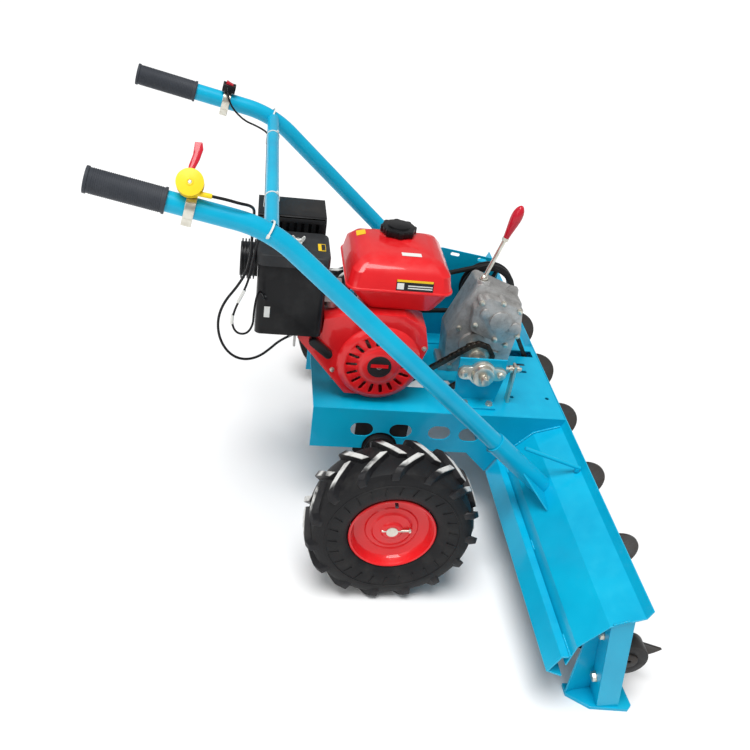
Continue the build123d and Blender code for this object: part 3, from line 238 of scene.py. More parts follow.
def make_finishes():
    """Every finish on the machine, by the record's slot names or the piece's own."""
    return {
        "blue_paint": sprayed_paint(
            "blue_paint", rgb(0.001, 0.43, 0.66), rgb(0.02, 0.50, 0.70), rgb(0.000, 0.35, 0.57), 0.2
        ),
        "red_paint": sprayed_paint(
            "red_paint", rgb(0.78, 0.016, 0.020), rgb(0.72, 0.12, 0.11), rgb(0.66, 0.008, 0.012), 0.5
        ),
        "black_paint": moulded("black_paint", rgb(0.012, 0.012, 0.013), rgb(0.05, 0.045, 0.04), 0.34, 500.0),
        "black_plastic": moulded("black_plastic", rgb(0.010, 0.010, 0.011), rgb(0.035, 0.035, 0.035), 0.28),
        "grey_plastic": moulded("grey_plastic", rgb(0.030, 0.031, 0.033), rgb(0.07, 0.07, 0.07), 0.42),
        "white_plastic": moulded("white_plastic", rgb(0.80, 0.80, 0.76), rgb(0.60, 0.58, 0.52), 0.35),
        "yellow_plastic": moulded("yellow_plastic", rgb(0.92, 0.66, 0.03), rgb(0.80, 0.50, 0.02), 0.3),
        "red_plastic": moulded("red_plastic", rgb(0.55, 0.012, 0.03), rgb(0.35, 0.01, 0.02), 0.26, coat=0.4),
        "grip_rubber": moulded(
            "grip_rubber", rgb(0.045, 0.050, 0.060), rgb(0.08, 0.085, 0.095), 0.5, 1400.0, 0.0004
        ),
        "tyre_rubber": moulded(
            "tyre_rubber", rgb(0.012, 0.012, 0.013), rgb(0.05, 0.048, 0.044), 0.5, 300.0, 0.0006
        ),
        "tyre_tread": pale_topped_tread(),
        "cast_aluminium": bare_metal(
            "cast_aluminium", rgb(0.50, 0.50, 0.49), rgb(0.20, 0.19, 0.18), 0.40, 0.65, 420.0, 0.0012
        ),
        "zinc_steel": bare_metal(
            "zinc_steel", rgb(0.72, 0.70, 0.62), rgb(0.42, 0.38, 0.30), 0.28, 0.9, 300.0, 0.0002
        ),
        "cast_iron": moulded(
            "cast_iron", rgb(0.015, 0.015, 0.016), rgb(0.07, 0.065, 0.06), 0.4, 420.0, 0.0006
        ),
        "auger_steel": bare_metal(
            "auger_steel", rgb(0.020, 0.018, 0.017), rgb(0.07, 0.045, 0.03), 0.5, 0.4, 200.0, 0.0008
        ),
        "chain_steel": bare_metal(
            "chain_steel", rgb(0.10, 0.085, 0.07), rgb(0.02, 0.018, 0.015), 0.38, 0.8, 600.0, 0.0003
        ),
        "belt_rubber": moulded(
            "belt_rubber", rgb(0.015, 0.015, 0.015), rgb(0.05, 0.05, 0.05), 0.7, 700.0, 0.0004
        ),
        "cable_sheath": moulded("cable_sheath", rgb(0.008, 0.008, 0.009), rgb(0.03, 0.03, 0.03), 0.36),
        "label_black": moulded("label_black", rgb(0.02, 0.02, 0.022), rgb(0.05, 0.05, 0.05), 0.3),
        "label_yellow": moulded("label_yellow", rgb(0.85, 0.55, 0.02), rgb(0.65, 0.42, 0.05), 0.35),
        "label_white": moulded("label_white", rgb(0.75, 0.75, 0.72), rgb(0.5, 0.5, 0.48), 0.35),
    }


finishes = make_finishes()

# ---------------------------------------------------------------- mesh helpers


def new_piece(name, mesh, slot, body, replaced=()):
    """Put a finished mesh in the scene as a piece of one body."""
    piece = bpy.data.objects.new(name, mesh)
    bpy.context.scene.collection.objects.link(piece)
    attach(piece, body)
    slot in {material["slot"] for material in record["materials"]}
    if replaced:
        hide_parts(*replaced)
    return piece


def smooth_by_angle(mesh, limit=35.0):
    """Smooth shading, with edges that turn more than the limit kept sharp."""
    bm = bmesh.new()
    bm.from_mesh(mesh)
    for face in bm.faces:
        face.smooth = True
    for edge in bm.edges:
        two_sided = len(edge.link_faces) == 2
        edge.smooth = two_sided and edge.calc_face_angle(0) < math.radians(limit)
    bm.to_mesh(mesh)
    bm.free()


def applied(obj):
    """The object's mesh with its modifiers applied; the object itself is removed."""
    bpy.context.view_layer.update()
    depsgraph = bpy.context.evaluated_depsgraph_get()
    mesh = bpy.data.meshes.new_from_object(obj.evaluated_get(depsgraph))
    bpy.data.objects.remove(obj)
    return mesh


def mesh_from(bm, name, recalc=True):
    """A plain mesh from a bmesh, its faces pointing outwards."""
    bmesh.ops.remove_doubles(bm, verts=bm.verts, dist=1e-6)
    if recalc:
        bmesh.ops.recalc_face_normals(bm, faces=bm.faces)
    mesh = bpy.data.meshes.new(name)
    bm.to_mesh(mesh)
    bm.free()
    return mesh


def dressed(node, width=0.0012, segments=2, slot=None, limit=38.0):
    """A CAD piece with its edges rounded as bent or cast metal is, and its finish on."""
    bm = bmesh.new()
    bm.from_mesh(nodes[node].data)
    bmesh.ops.remove_doubles(bm, verts=bm.verts, dist=2e-5)
    bmesh.ops.dissolve_limit(bm, angle_limit=math.radians(0.5), verts=bm.verts, edges=bm.edges)
    mesh = bpy.data.meshes.new(node + "_dressed")
    bm.to_mesh(mesh)
    bm.free()
    mesh.materials.clear()
    slot = slot or SLOT_OF[node]
    mesh.materials.append(finishes[slot])
    if width:
        holder = bpy.data.objects.new("holder", mesh)
        bpy.context.scene.collection.objects.link(holder)
        bevel = holder.modifiers.new("edges", "BEVEL")
        bevel.width = width
        bevel.segments = segments
        bevel.limit_method = "ANGLE"
        bevel.angle_limit = math.radians(40)
        bevel.use_clamp_overlap = True
        mesh = applied(holder)
    for polygon in mesh.polygons:
        polygon.material_index = 0
    smooth_by_angle(mesh, limit)
    return new_piece(node + "_piece", mesh, slot, BODY_OF[node], [node])


def tube_mesh(name, points, radius, material, sides=16):
    """A closed round bar that follows points, with flat ends."""
    bm = bmesh.new()
    rings = []
    last = len(points) - 1
    side = None
    for index, point in enumerate(points):
        along = (Vector(points[min(index + 1, last)]) - Vector(points[max(index - 1, 0)])).normalized()
        if side is None:
            side = along.orthogonal().normalized()
        side = (side - along * side.dot(along)).normalized()
        other = along.cross(side)
        size = radius[index] if isinstance(radius, (list, tuple)) else radius
        ring = []
        for step in range(sides):
            angle = TURN * step / sides
            offset = side * math.cos(angle) * size + other * math.sin(angle) * size
            ring.append(bm.verts.new(Vector(point) + offset))
        rings.append(ring)
    for ring, following in zip(rings, rings[1:]):
        for step in range(sides):
            after = (step + 1) % sides
            bm.faces.new((ring[step], ring[after], following[after], following[step]))
    bm.faces.new(list(reversed(rings[0])))
    bm.faces.new(rings[-1])
    mesh = mesh_from(bm, name)
    mesh.materials.append(material)
    smooth_by_angle(mesh, 40.0)
    return mesh


def turned_mesh(name, profile, centre, axis, material, steps=64):
    """A closed profile of (radius, distance along the axis) turned round an axis through the centre."""
    axis = Vector(axis).normalized()
    side = axis.orthogonal().normalized()
    other = axis.cross(side)
    bm = bmesh.new()
    rings = []
    for step in range(steps):
        angle = TURN * step / steps
        out = side * math.cos(angle) + other * math.sin(angle)
        rings.append([bm.verts.new(Vector(centre) + out * r + axis * d) for r, d in profile])
    count = len(profile)
    for step in range(steps):
        here = rings[step]
        after = rings[(step + 1) % steps]
        for index in range(count):
            nxt = (index + 1) % count
            bm.faces.new((here[index], here[nxt], after[nxt], after[index]))
    bmesh.ops.remove_doubles(bm, verts=bm.verts, dist=1e-6)
    bmesh.ops.dissolve_degenerate(bm, dist=1e-6, edges=bm.edges)
    mesh = mesh_from(bm, name)
    mesh.materials.append(material)
    smooth_by_angle(mesh, 30.0)
    return mesh


# ---------------------------------------------------------------- geometry nodes for what repeats


class Tree:
    """A geometry node tree with named inputs, built in the script."""

    def __init__(self, name, inputs):
        self.group = bpy.data.node_groups.new(name, "GeometryNodeTree")
        self.group.interface.new_socket("Geometry", in_out="INPUT", socket_type="NodeSocketGeometry")
        for label, kind in inputs:
            self.group.interface.new_socket(label, in_out="INPUT", socket_type=kind)
        self.group.interface.new_socket("Geometry", in_out="OUTPUT", socket_type="NodeSocketGeometry")
        self.start = self.group.nodes.new("NodeGroupInput")
        self.end = self.group.nodes.new("NodeGroupOutput")

    def node(self, kind, settings=None, sockets=None):
        made = self.group.nodes.new(kind)
        for key, value in (settings or {}).items():
            setattr(made, key, value)
        for key, value in (sockets or {}).items():
            if isinstance(value, bpy.types.NodeSocket):
                self.group.links.new(value, made.inputs[key])
            else:
                made.inputs[key].default_value = value
        return made

    def given(self, label):
        return self.start.outputs[label]

    def close(self, geometry, material_socket):
        """End the tree: real geometry with its material."""
        real = self.node("GeometryNodeRealizeInstances", None, {"Geometry": geometry})
        coated = self.node(
            "GeometryNodeSetMaterial", None, {"Geometry": real.outputs[0], "Material": material_socket}
        )
        self.group.links.new(coated.outputs[0], self.end.inputs[0])


def ring_tree():
    """Copies of the given mesh turned step by step round the origin, then moved to a place."""
    tree = Tree(
        "ring",
        [
            ("Count", "NodeSocketInt"),
            ("Turn", "NodeSocketVector"),
            ("Place", "NodeSocketVector"),
            ("Material", "NodeSocketMaterial"),
        ],
    )
    line = tree.node("GeometryNodeMeshLine", None, {"Count": tree.given("Count"), "Offset": (0, 0, 0)})
    index = tree.node("GeometryNodeInputIndex")
    turn = tree.node(
        "ShaderNodeVectorMath", {"operation": "SCALE"}, {0: tree.given("Turn"), "Scale": index.outputs[0]}
    )
    copies = tree.node(
        "GeometryNodeInstanceOnPoints",
        None,
        {"Points": line.outputs[0], "Instance": tree.given("Geometry"), "Rotation": turn.outputs[0]},
    )
    moved = tree.node(
        "GeometryNodeTransform", None, {"Geometry": copies.outputs[0], "Translation": tree.given("Place")}
    )
    tree.close(moved.outputs[0], tree.given("Material"))
    return tree.group


def row_tree():
    """Copies of the given mesh in a straight row between two places."""
    tree = Tree(
        "row",
        [
            ("Count", "NodeSocketInt"),
            ("Start", "NodeSocketVector"),
            ("End", "NodeSocketVector"),
            ("Uneven", "NodeSocketFloat"),
            ("Material", "NodeSocketMaterial"),
        ],
    )
    line = tree.node(
        "GeometryNodeMeshLine",
        {"mode": "END_POINTS"},
        {"Count": tree.given("Count"), "Start Location": tree.given("Start"), "Offset": tree.given("End")},
    )
    least = tree.node("ShaderNodeMath", {"operation": "SUBTRACT"}, {0: 1.0, 1: tree.given("Uneven")})
    size = tree.node(
        "FunctionNodeRandomValue",
        {"data_type": "FLOAT"},
        {"Min": least.outputs[0], "Max": 1.0, "Seed": 7},
    )
    copies = tree.node(
        "GeometryNodeInstanceOnPoints",
        None,
        {"Points": line.outputs[0], "Instance": tree.given("Geometry"), "Scale": size.outputs[1]},
    )
    tree.close(copies.outputs[0], tree.given("Material"))
    return tree.group


def chain_tree():
    """Copies of the given mesh along a closed loop, each turned along it."""
    tree = Tree(
        "chain",
        [
            ("Loop", "NodeSocketObject"),
            ("Count", "NodeSocketInt"),
            ("Material", "NodeSocketMaterial"),
        ],
    )
    loop = tree.node("GeometryNodeObjectInfo", None, {"Object": tree.given("Loop")})
    points = tree.node(
        "GeometryNodeCurveToPoints",
        {"mode": "COUNT"},
        {"Curve": loop.outputs["Geometry"], "Count": tree.given("Count")},
    )
    across = tree.node(
        "FunctionNodeAlignRotationToVector", {"axis": "Y"}, {"Vector": (0.0, 1.0, 0.0)}
    )
    along = tree.node(
        "FunctionNodeAlignRotationToVector",
        {"axis": "X", "pivot_axis": "Y"},
        {"Rotation": across.outputs[0], "Vector": points.outputs["Tangent"]},
    )
    copies = tree.node(
        "GeometryNodeInstanceOnPoints",
        None,
        {
            "Points": points.outputs["Points"],
            "Instance": tree.given("Geometry"),
            "Rotation": along.outputs[0],
        },
    )
    tree.close(copies.outputs[0], tree.given("Material"))
    return tree.group


TREES = {"ring": ring_tree(), "row": row_tree(), "chain": chain_tree()}


def repeated(unit, tree_name, **values):
    """The plain mesh that a tree makes from one unit mesh and the values of its named inputs."""
    group = TREES[tree_name]
    holder = bpy.data.objects.new("holder", unit)
    bpy.context.scene.collection.objects.link(holder)
    modifier = holder.modifiers.new("repeat", "NODES")
    modifier.node_group = group
    for item in group.interface.items_tree:
        if item.item_type == "SOCKET" and item.in_out == "INPUT" and item.name in values:
            modifier[item.identifier] = values[item.name]
    return applied(holder)


# ---------------------------------------------------------------- wheels

AXLE = Vector((0.030, 0.0, 0.187))
TRACK_HALF = 0.416
LUG_PAIRS = 15


def tyre_carcass(name, centre_y):
    """A tractor tyre's round body, from bead to bead."""
    outer = [
        (0.0938, -0.0395), (0.099, -0.046), (0.108, -0.0515), (0.125, -0.0545), (0.145, -0.0550),
        (0.160, -0.0530), (0.168, -0.0480), (0.1715, -0.038), (0.173, -0.02), (0.1735, 0.0),
    ]
    inner = [(0.160, 0.0), (0.156, -0.040), (0.128, -0.046), (0.104, -0.036), (0.0938, -0.033)]
    profile = outer + [(r, -d) for r, d in reversed(outer[:-1])]
    profile += [(r, -d) for r, d in reversed(inner)] + inner[1:]
    centre = AXLE + Vector((0, centre_y, 0))
    return turned_mesh(name, profile, centre, (0, 1, 0), finishes["tyre_rubber"], 96)


def lug_unit(side):
    """One slanting lug of the tread, round the origin, from the middle out over the shoulder."""
    stations = [
        (-0.004, 0.00, 0.1868), (0.012, 0.085, 0.1868), (0.030, 0.185, 0.1860), (0.046, 0.265, 0.1835),
        (0.0550, 0.305, 0.176), (0.0560, 0.318, 0.160),
    ]
    roots = [0.168, 0.168, 0.166, 0.160, 0.150, 0.138]
    halves = [0.0085, 0.0088, 0.0092, 0.0098, 0.0096, 0.0080]
    bm = bmesh.new()
    rows = []
    for (y, angle, top), root, half in zip(stations, roots, halves):
        row = []
        for r, spread in ((root, 1.5), (top, 0.85), (top, -0.85), (root, -1.5)):
            turn = spread * half / r - angle
            inset = 0.010 if r == root and y > 0.05 else 0.0
            row.append(bm.verts.new((r * math.sin(turn), side * (y - inset), r * math.cos(turn))))
        rows.append(row)
    for row, following in zip(rows, rows[1:]):
        for index in range(4):
            nxt = (index + 1) % 4
            bm.faces.new((row[index], row[nxt], following[nxt], following[index]))
    bm.faces.new(rows[0])
    bm.faces.new(list(reversed(rows[-1])))
    bmesh.ops.recalc_face_normals(bm, faces=bm.faces)
    bmesh.ops.bevel(bm, geom=bm.edges, offset=0.0009, segments=1, affect="EDGES")
    mesh = mesh_from(bm, "lug")
    smooth_by_angle(mesh, 30.0)
    return mesh


def sidewall_rib_unit(side):
    """A short raised bar on the sidewall, leaning a little, round the origin."""
    bm = bmesh.new()
    bmesh.ops.create_cube(bm, size=1.0)
    bmesh.ops.scale(bm, vec=(0.0022, 0.0030, 0.020), verts=bm.verts)
    bmesh.ops.rotate(bm, matrix=Matrix.Rotation(0.25, 3, "Y"), verts=bm.verts)
    bmesh.ops.translate(bm, vec=(0.0, side * 0.0545, 0.127), verts=bm.verts)
    return mesh_from(bm, "rib")


def add_sidewall_ribs(name, centre_y):
    """Raised bars and a raised ring on the outer sidewall."""
    side = 1 if centre_y > 0 else -1
    count = 26
    mesh = repeated(
        sidewall_rib_unit(side),
        "ring",
        Count=count,
        Turn=(0.0, TURN / count, 0.0),
        Place=AXLE + Vector((0, centre_y, 0)),
        Material=finishes["tyre_rubber"],
    )
    new_piece(name + "_ribs", mesh, "tyre_rubber", "axle")
    ring = [(0.1395, 0.0535), (0.1405, 0.0562), (0.1435, 0.0562), (0.1445, 0.0535)]
    mesh = turned_mesh(
        name + "_ring", ring, AXLE + Vector((0, centre_y, 0)), (0, side, 0), finishes["tyre_rubber"], 96
    )
    new_piece(name + "_ring", mesh, "tyre_rubber", "axle")


def add_rim(name, centre_y, replaced):
    """A pressed wheel disc with stepped rings, its rolled lips and its short hub."""
    side = 1 if centre_y > 0 else -1
    outer = [
        (0.0935, 0.0440), (0.0915, 0.0455), (0.0885, 0.0440), (0.0860, 0.0380), (0.0840, 0.0300),
        (0.0800, 0.0245), (0.0740, 0.0225), (0.0620, 0.0215), (0.0575, 0.0225), (0.0550, 0.0250),
        (0.0460, 0.0255), (0.0430, 0.0270), (0.0405, 0.0295), (0.0300, 0.0300), (0.0240, 0.0315),
        (0.0215, 0.0345), (0.0180, 0.0365), (0.0127, 0.0368),
    ]
    inner = [
        (0.0127, -0.0300), (0.0190, -0.0300), (0.0200, 0.0180), (0.0700, 0.0180), (0.0780, 0.0150),
        (0.0800, -0.0300), (0.0860, -0.0385), (0.0885, -0.0440), (0.0915, -0.0455), (0.0935, -0.0440),
        (0.0925, -0.0380), (0.0850, -0.0300), (0.0850, 0.0300), (0.0925, 0.0380),
    ]
    centre = AXLE + Vector((0, centre_y, 0))
    mesh = turned_mesh(name, outer + inner, centre, (0, side, 0), finishes["red_paint"], 96)
    new_piece(name, mesh, "red_paint", "axle", replaced)
    pin_y = centre_y + side * 0.0345
    pin = tube_mesh(
        name + "_pin", [(0.008, pin_y, 0.187), (0.070, pin_y, 0.190)], 0.0028, finishes["zinc_steel"], 14
    )
    new_piece(name + "_pin", pin, "zinc_steel", "axle")
    head = turned_mesh(
        name + "_pin_head",
        [(0.0, 0.0), (0.0052, 0.0), (0.0052, 0.004), (0.0, 0.004)],
        (0.066, pin_y, 0.190), (1, 0, 0.05), finishes["zinc_steel"], 6,
    )
    new_piece(name + "_pin_head", head, "zinc_steel", "axle")


def add_tyres():
    """Both tyres: the carcass and two staggered rings of lugs on each."""
    new_piece("tyre_right_body", tyre_carcass("tyre_right", -TRACK_HALF), "tyre_rubber", "axle", ["tyres"])
    new_piece("tyre_left_body", tyre_carcass("tyre_left", TRACK_HALF), "tyre_rubber", "axle")
    step = TURN / LUG_PAIRS
    for name, centre_y in (("right", -TRACK_HALF), ("left", TRACK_HALF)):
        for row, side in (("inner", 1), ("outer", -1)):
            unit = lug_unit(side)
            if side < 0:
                unit.transform(Matrix.Rotation(step / 2, 4, "Y"))
            mesh = repeated(
                unit,
                "ring",
                Count=LUG_PAIRS,
                Turn=(0.0, step, 0.0),
                Place=AXLE + Vector((0, centre_y, 0)),
                Material=finishes["tyre_tread"],
            )
            new_piece(f"tyre_{name}_{row}_lugs", mesh, "tyre_rubber", "axle")
        add_sidewall_ribs("tyre_" + name, centre_y)
    add_rim("rim_right", -TRACK_HALF, ["wheel_rims"])
    add_rim("rim_left", TRACK_HALF, [])


# ---------------------------------------------------------------- cords

CABLE_ROUTE = [
    (-0.368, -0.343, 0.854), (-0.345, -0.343, 0.851), (-0.320, -0.342, 0.845), (-0.302, -0.330, 0.838),
    (-0.294, -0.309, 0.822), (-0.296, -0.292, 0.794), (-0.296, -0.277, 0.756), (-0.296, -0.265, 0.712),
    (-0.303, -0.254, 0.668), (-0.320, -0.246, 0.630), (-0.341, -0.240, 0.596), (-0.353, -0.233, 0.560),
    (-0.355, -0.226, 0.524), (-0.349, -0.218, 0.490), (-0.336, -0.210, 0.460), (-0.316, -0.202, 0.438),
    (-0.291, -0.192, 0.428), (-0.265, -0.181, 0.432), (-0.243, -0.169, 0.446), (-0.225, -0.155, 0.458),
    (-0.206, -0.143, 0.463),
]
WIRE_ROUTE = [
    (-0.372, 0.312, 0.846), (-0.370, 0.301, 0.836), (-0.358, 0.292, 0.814), (-0.330, 0.289, 0.790),
    (-0.300, 0.287, 0.781), (-0.274, 0.262, 0.776), (-0.274, 0.232, 0.776), (-0.274, -0.232, 0.776),
    (-0.274, -0.262, 0.776), (-0.280, -0.289, 0.764), (-0.288, -0.284, 0.735), (-0.293, -0.272, 0.695),
    (-0.299, -0.262, 0.650), (-0.312, -0.256, 0.612), (-0.323, -0.255, 0.580), (-0.327, -0.254, 0.553),
    (-0.317, -0.253, 0.529), (-0.296, -0.251, 0.527), (-0.284, -0.248, 0.547), (-0.284, -0.240, 0.573),
    (-0.281, -0.225, 0.597), (-0.276, -0.204, 0.602), (-0.270, -0.182, 0.588), (-0.266, -0.167, 0.573),
    (-0.263, -0.156, 0.563),
]


def add_cord(name, route, diameter, replaced):
    """A free cord on one smooth curve."""
    data = bpy.data.curves.new(name, "CURVE")
    data.dimensions = "3D"
    spline = data.splines.new("NURBS")
    spline.points.add(len(route) - 1)
    for point, place in zip(spline.points, route):
        point.co = (*place, 1.0)
    spline.order_u = 3
    spline.use_endpoint_u = True
    spline.resolution_u = 8
    data.bevel_depth = diameter / 2
    data.bevel_resolution = 4
    data.use_fill_caps = True
    data.materials.append(finishes["cable_sheath"])
    cord = bpy.data.objects.new(name, data)
    bpy.context.scene.collection.objects.link(cord)
    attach(cord, "root")
    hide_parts(replaced)
    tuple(route[0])
    return cord


place_camera()
add_cord("throttle_cable_piece", CABLE_ROUTE, 0.0055, "throttle_cable")
add_cord("stop_wire_piece", WIRE_ROUTE, 0.0045, "stop_wire")

# ---------------------------------------------------------------- the machine

SHEET_NODES = [
    "deck_plate", "side_plates", "hood", "hood_angle", "end_posts", "end_plates", "shoes",
    "handle_sockets", "handle_gussets", "brace_rods", "belt_guard", "bearing_bracket", "bar_clamps",
    "chain_adjuster", "axle_hangers",
]
for node in SHEET_NODES:
    dressed(node, 0.0008, limit=14.0)
ROUNDED = {
    "crossbar": 0.0, "grip_right": 0.0015,
    "grip_left": 0.0015, "throttle_body": 0.0015, "throttle_lever": 0.0015, "switch_body": 0.0015,
    "switch_rocker": 0.001, "crankcase": 0.002, "cylinder": 0.0006, "fan_shroud": 0.0025,
    "recoil_cover": 0.001, "recoil_handle": 0.004, "flywheel": 0.0005, "crankshaft": 0.001,
    "engine_pulley": 0.0008, "fuel_tank": 0.0015, "fuel_cap": 0.0025, "air_cleaner_case": 0.002,
    "air_cleaner_lid": 0.002, "intake_cap": 0.0008, "muffler": 0.001,
    "muffler_guard": 0.0006, "carburettor": 0.001, "gearbox_case": 0.002, "gearbox_cover": 0.002,
    "input_shaft": 0.0005, "input_pulley": 0.001, "output_shaft": 0.0005,
    "auger_bearings": 0.002, "auger_tube": 0.001, "auger_flights": 0.0, "axle_shaft": 0.001,
    "bolts": 0.0006, "drive_belt": 0.0008,
}
for node, width in ROUNDED.items():
    dressed(node, width)
dressed("flange_bearing", 0.0015, slot="zinc_steel")
add_tyres()
# ---------------------------------------------------------------- chains


def chain_line(small, small_r, large, large_r, y):
    """Points round two sprockets and along the straight runs between them, in the XZ plane."""
    (ax, az), (bx, bz) = small, large
    span = math.hypot(bx - ax, bz - az)
    heading = math.atan2(bz - az, bx - ax)
    lean = math.acos((small_r - large_r) / span)
    points = []
    for step in range(25):
        angle = heading + lean + (TURN - 2 * lean) * step / 24
        points.append((ax + small_r * math.cos(angle), y, az + small_r * math.sin(angle)))
    for step in range(25):
        angle = heading - lean + 2 * lean * step / 24
        points.append((bx + large_r * math.cos(angle), y, bz + large_r * math.sin(angle)))
    return points


def link_unit(pitch):
    """An inner and an outer link of roller chain, two pitches long, round the origin along X."""
    bm = bmesh.new()

    def plate(centre_x, y_low, y_high, reach, half):
        outline = []
        for step in range(10):
            angle = math.radians(-90 + 20 * step)
            outline.append((centre_x + reach + half * math.cos(angle), half * math.sin(angle)))
        for step in range(10):
            angle = math.radians(90 + 20 * step)
            outline.append((centre_x - reach + half * math.cos(angle), half * math.sin(angle)))
        low = [bm.verts.new((x, y_low, z)) for x, z in outline]
        high = [bm.verts.new((x, y_high, z)) for x, z in outline]
        bm.faces.new(low)
        bm.faces.new(list(reversed(high)))
        for index in range(len(low)):
            nxt = (index + 1) % len(low)
            bm.faces.new((low[index], high[index], high[nxt], low[nxt]))

    def roller(x, radius, half):
        ring = []
        for y in (-half, half):
            ring.append(
                [
                    bm.verts.new((x + radius * math.cos(TURN * s / 10), y, radius * math.sin(TURN * s / 10)))
                    for s in range(10)
                ]
            )
        bm.faces.new(ring[0])
        bm.faces.new(list(reversed(ring[1])))
        for s in range(10):
            t = (s + 1) % 10
            bm.faces.new((ring[0][s], ring[1][s], ring[1][t], ring[0][t]))

    for side in (-1, 1):
        inner = sorted((side * 0.0040, side * 0.0053))
        outer = sorted((side * 0.0054, side * 0.0067))
        plate(-pitch / 2, inner[0], inner[1], pitch / 2, 0.0056)
        plate(pitch / 2, outer[0], outer[1], pitch / 2, 0.0052)
    for x in (-pitch, 0.0):
        roller(x, 0.0040, 0.0039)
        roller(x, 0.0018, 0.0076)
    mesh = mesh_from(bm, "link")
    smooth_by_angle(mesh, 40.0)
    return mesh


def add_chain(name, node, small, small_r, large, large_r, y, pitch=0.0127):
    """A roller chain over its two sprockets."""
    points = chain_line(small, small_r, large, large_r, y)
    ends = zip(points, points[1:] + points[:1])
    length = sum((Vector(b) - Vector(a)).length for a, b in ends)
    data = bpy.data.curves.new(name + "_line", "CURVE")
    data.dimensions = "3D"
    line = data.splines.new("POLY")
    line.points.add(len(points) - 1)
    for point, place in zip(line.points, points):
        point.co = (*place, 1.0)
    line.use_cyclic_u = True
    loop = bpy.data.objects.new(name + "_line", data)
    bpy.context.scene.collection.objects.link(loop)
    count = round(length / pitch / 2)
    mesh = repeated(
        link_unit(length / count / 2),
        "chain",
        Loop=loop,
        Count=count,
        Material=finishes["chain_steel"],
    )
    bpy.data.objects.remove(loop)
    return new_piece(name, mesh, "chain_steel", "root", [node])


def pitch_radius(teeth):
    """Where the rollers sit on a sprocket of half-inch pitch."""
    return 0.0127 / 2 / math.sin(math.pi / teeth)


# ---------------------------------------------------------------- gear lever


def add_gear_lever():
    """Ball, bright rod, ferrule and a glossy teardrop knob."""
    pivot = Vector((0.255, 0.040, 0.549))
    foot = Vector((0.286, 0.040, 0.657))
    top = Vector((0.307, 0.040, 0.738))
    rod = tube_mesh("lever_rod", [pivot, foot + (top - foot) * 0.1], 0.005, finishes["zinc_steel"], 20)
    new_piece("lever_rod", rod, "zinc_steel", "gear_lever", ["shift_lever"])
    ball = turned_mesh(
        "lever_ball",
        [(0.0, -0.010), (0.004, -0.0092), (0.007, -0.0071), (0.0092, -0.004), (0.010, 0.0), (0.0092, 0.004),
         (0.007, 0.0071), (0.004, 0.0092), (0.0, 0.010)],
        pivot, foot - pivot, finishes["zinc_steel"], 32,
    )
    new_piece("lever_ball", ball, "zinc_steel", "gear_lever")
    profile = [
        (0.0, 0.0), (0.0066, 0.0), (0.0072, 0.003), (0.0086, 0.015), (0.0112, 0.032), (0.0132, 0.047),
        (0.0136, 0.056), (0.0126, 0.066), (0.0100, 0.074), (0.0062, 0.0800), (0.0030, 0.0828), (0.0, 0.0836),
    ]
    knob = turned_mesh("lever_knob", profile, foot, top - foot, finishes["red_plastic"], 48)
    new_piece("lever_knob", knob, "red_plastic", "gear_lever")
    collar = [(0.0052, -0.008), (0.0078, -0.008), (0.0078, 0.0), (0.0052, 0.0)]
    new_piece(
        "lever_nut",
        turned_mesh("lever_nut", collar, foot, top - foot, finishes["zinc_steel"], 6),
        "zinc_steel",
        "gear_lever",
    )


# ---------------------------------------------------------------- ties, labels and small parts


def tie_mesh(name, place, along, main_r, cord_offset, cord_r, material):
    """A flat strap round a tube and the cord beside it, with its head."""
    along = Vector(along).normalized()
    beside = Vector(cord_offset)
    beside = beside - along * beside.dot(along)
    across = beside.normalized()
    other = along.cross(across)
    far = beside.length
    width = 0.0018
    gap = 0.0003
    thick = 0.0012
    bm = bmesh.new()
    rings = []
    for step in range(48):
        angle = TURN * step / 48
        reach_cord = far * math.cos(angle) + cord_r
        centre = far if reach_cord > main_r else 0.0
        radius = cord_r if reach_cord > main_r else main_r
        out = across * math.cos(angle) + other * math.sin(angle)
        base = Vector(place) + across * centre + out * (radius + gap)
        corners = (base - along * width, base + along * width)
        corners += (base + out * thick + along * width, base + out * thick - along * width)
        rings.append([bm.verts.new(corner) for corner in corners])
    for ring, following in zip(rings, rings[1:] + rings[:1]):
        for index in range(4):
            nxt = (index + 1) % 4
            bm.faces.new((ring[index], ring[nxt], following[nxt], following[index]))
    head = bmesh.ops.create_cube(bm, size=1.0)["verts"]
    bmesh.ops.scale(bm, vec=(0.0052, 0.0050, 0.0042), verts=head)
    frame_of = Matrix((along, other, across)).transposed().to_4x4()
    spot = Vector(place) - across * (main_r + gap + 0.0022)
    bmesh.ops.transform(bm, matrix=Matrix.Translation(spot) @ frame_of, verts=head)
    mesh = mesh_from(bm, name)
    mesh.materials.append(material)
    smooth_by_angle(mesh, 40.0)
    return mesh


def weld_unit(half):
    """One ripple of a weld bead, a low oval blob."""
    bm = bmesh.new()
    bmesh.ops.create_icosphere(bm, subdivisions=2, radius=half)
    bmesh.ops.scale(bm, vec=(1.0, 1.0, 0.8), verts=bm.verts)
    mesh = mesh_from(bm, "ripple")
    for polygon in mesh.polygons:
        polygon.use_smooth = True
    return mesh


def add_weld(name, start, end, half=0.0032):
    """A bead of overlapping ripples, painted over."""
    length = (Vector(end) - Vector(start)).length
    mesh = repeated(
        weld_unit(half),
        "row",
        Count=max(3, int(length / (half * 0.85))),
        Start=Vector(start),
        End=Vector(end),
        Uneven=0.25,
        Material=finishes["blue_paint"],
    )
    for polygon in mesh.polygons:
        polygon.use_smooth = True
    return new_piece(name, mesh, "blue_paint", "root")


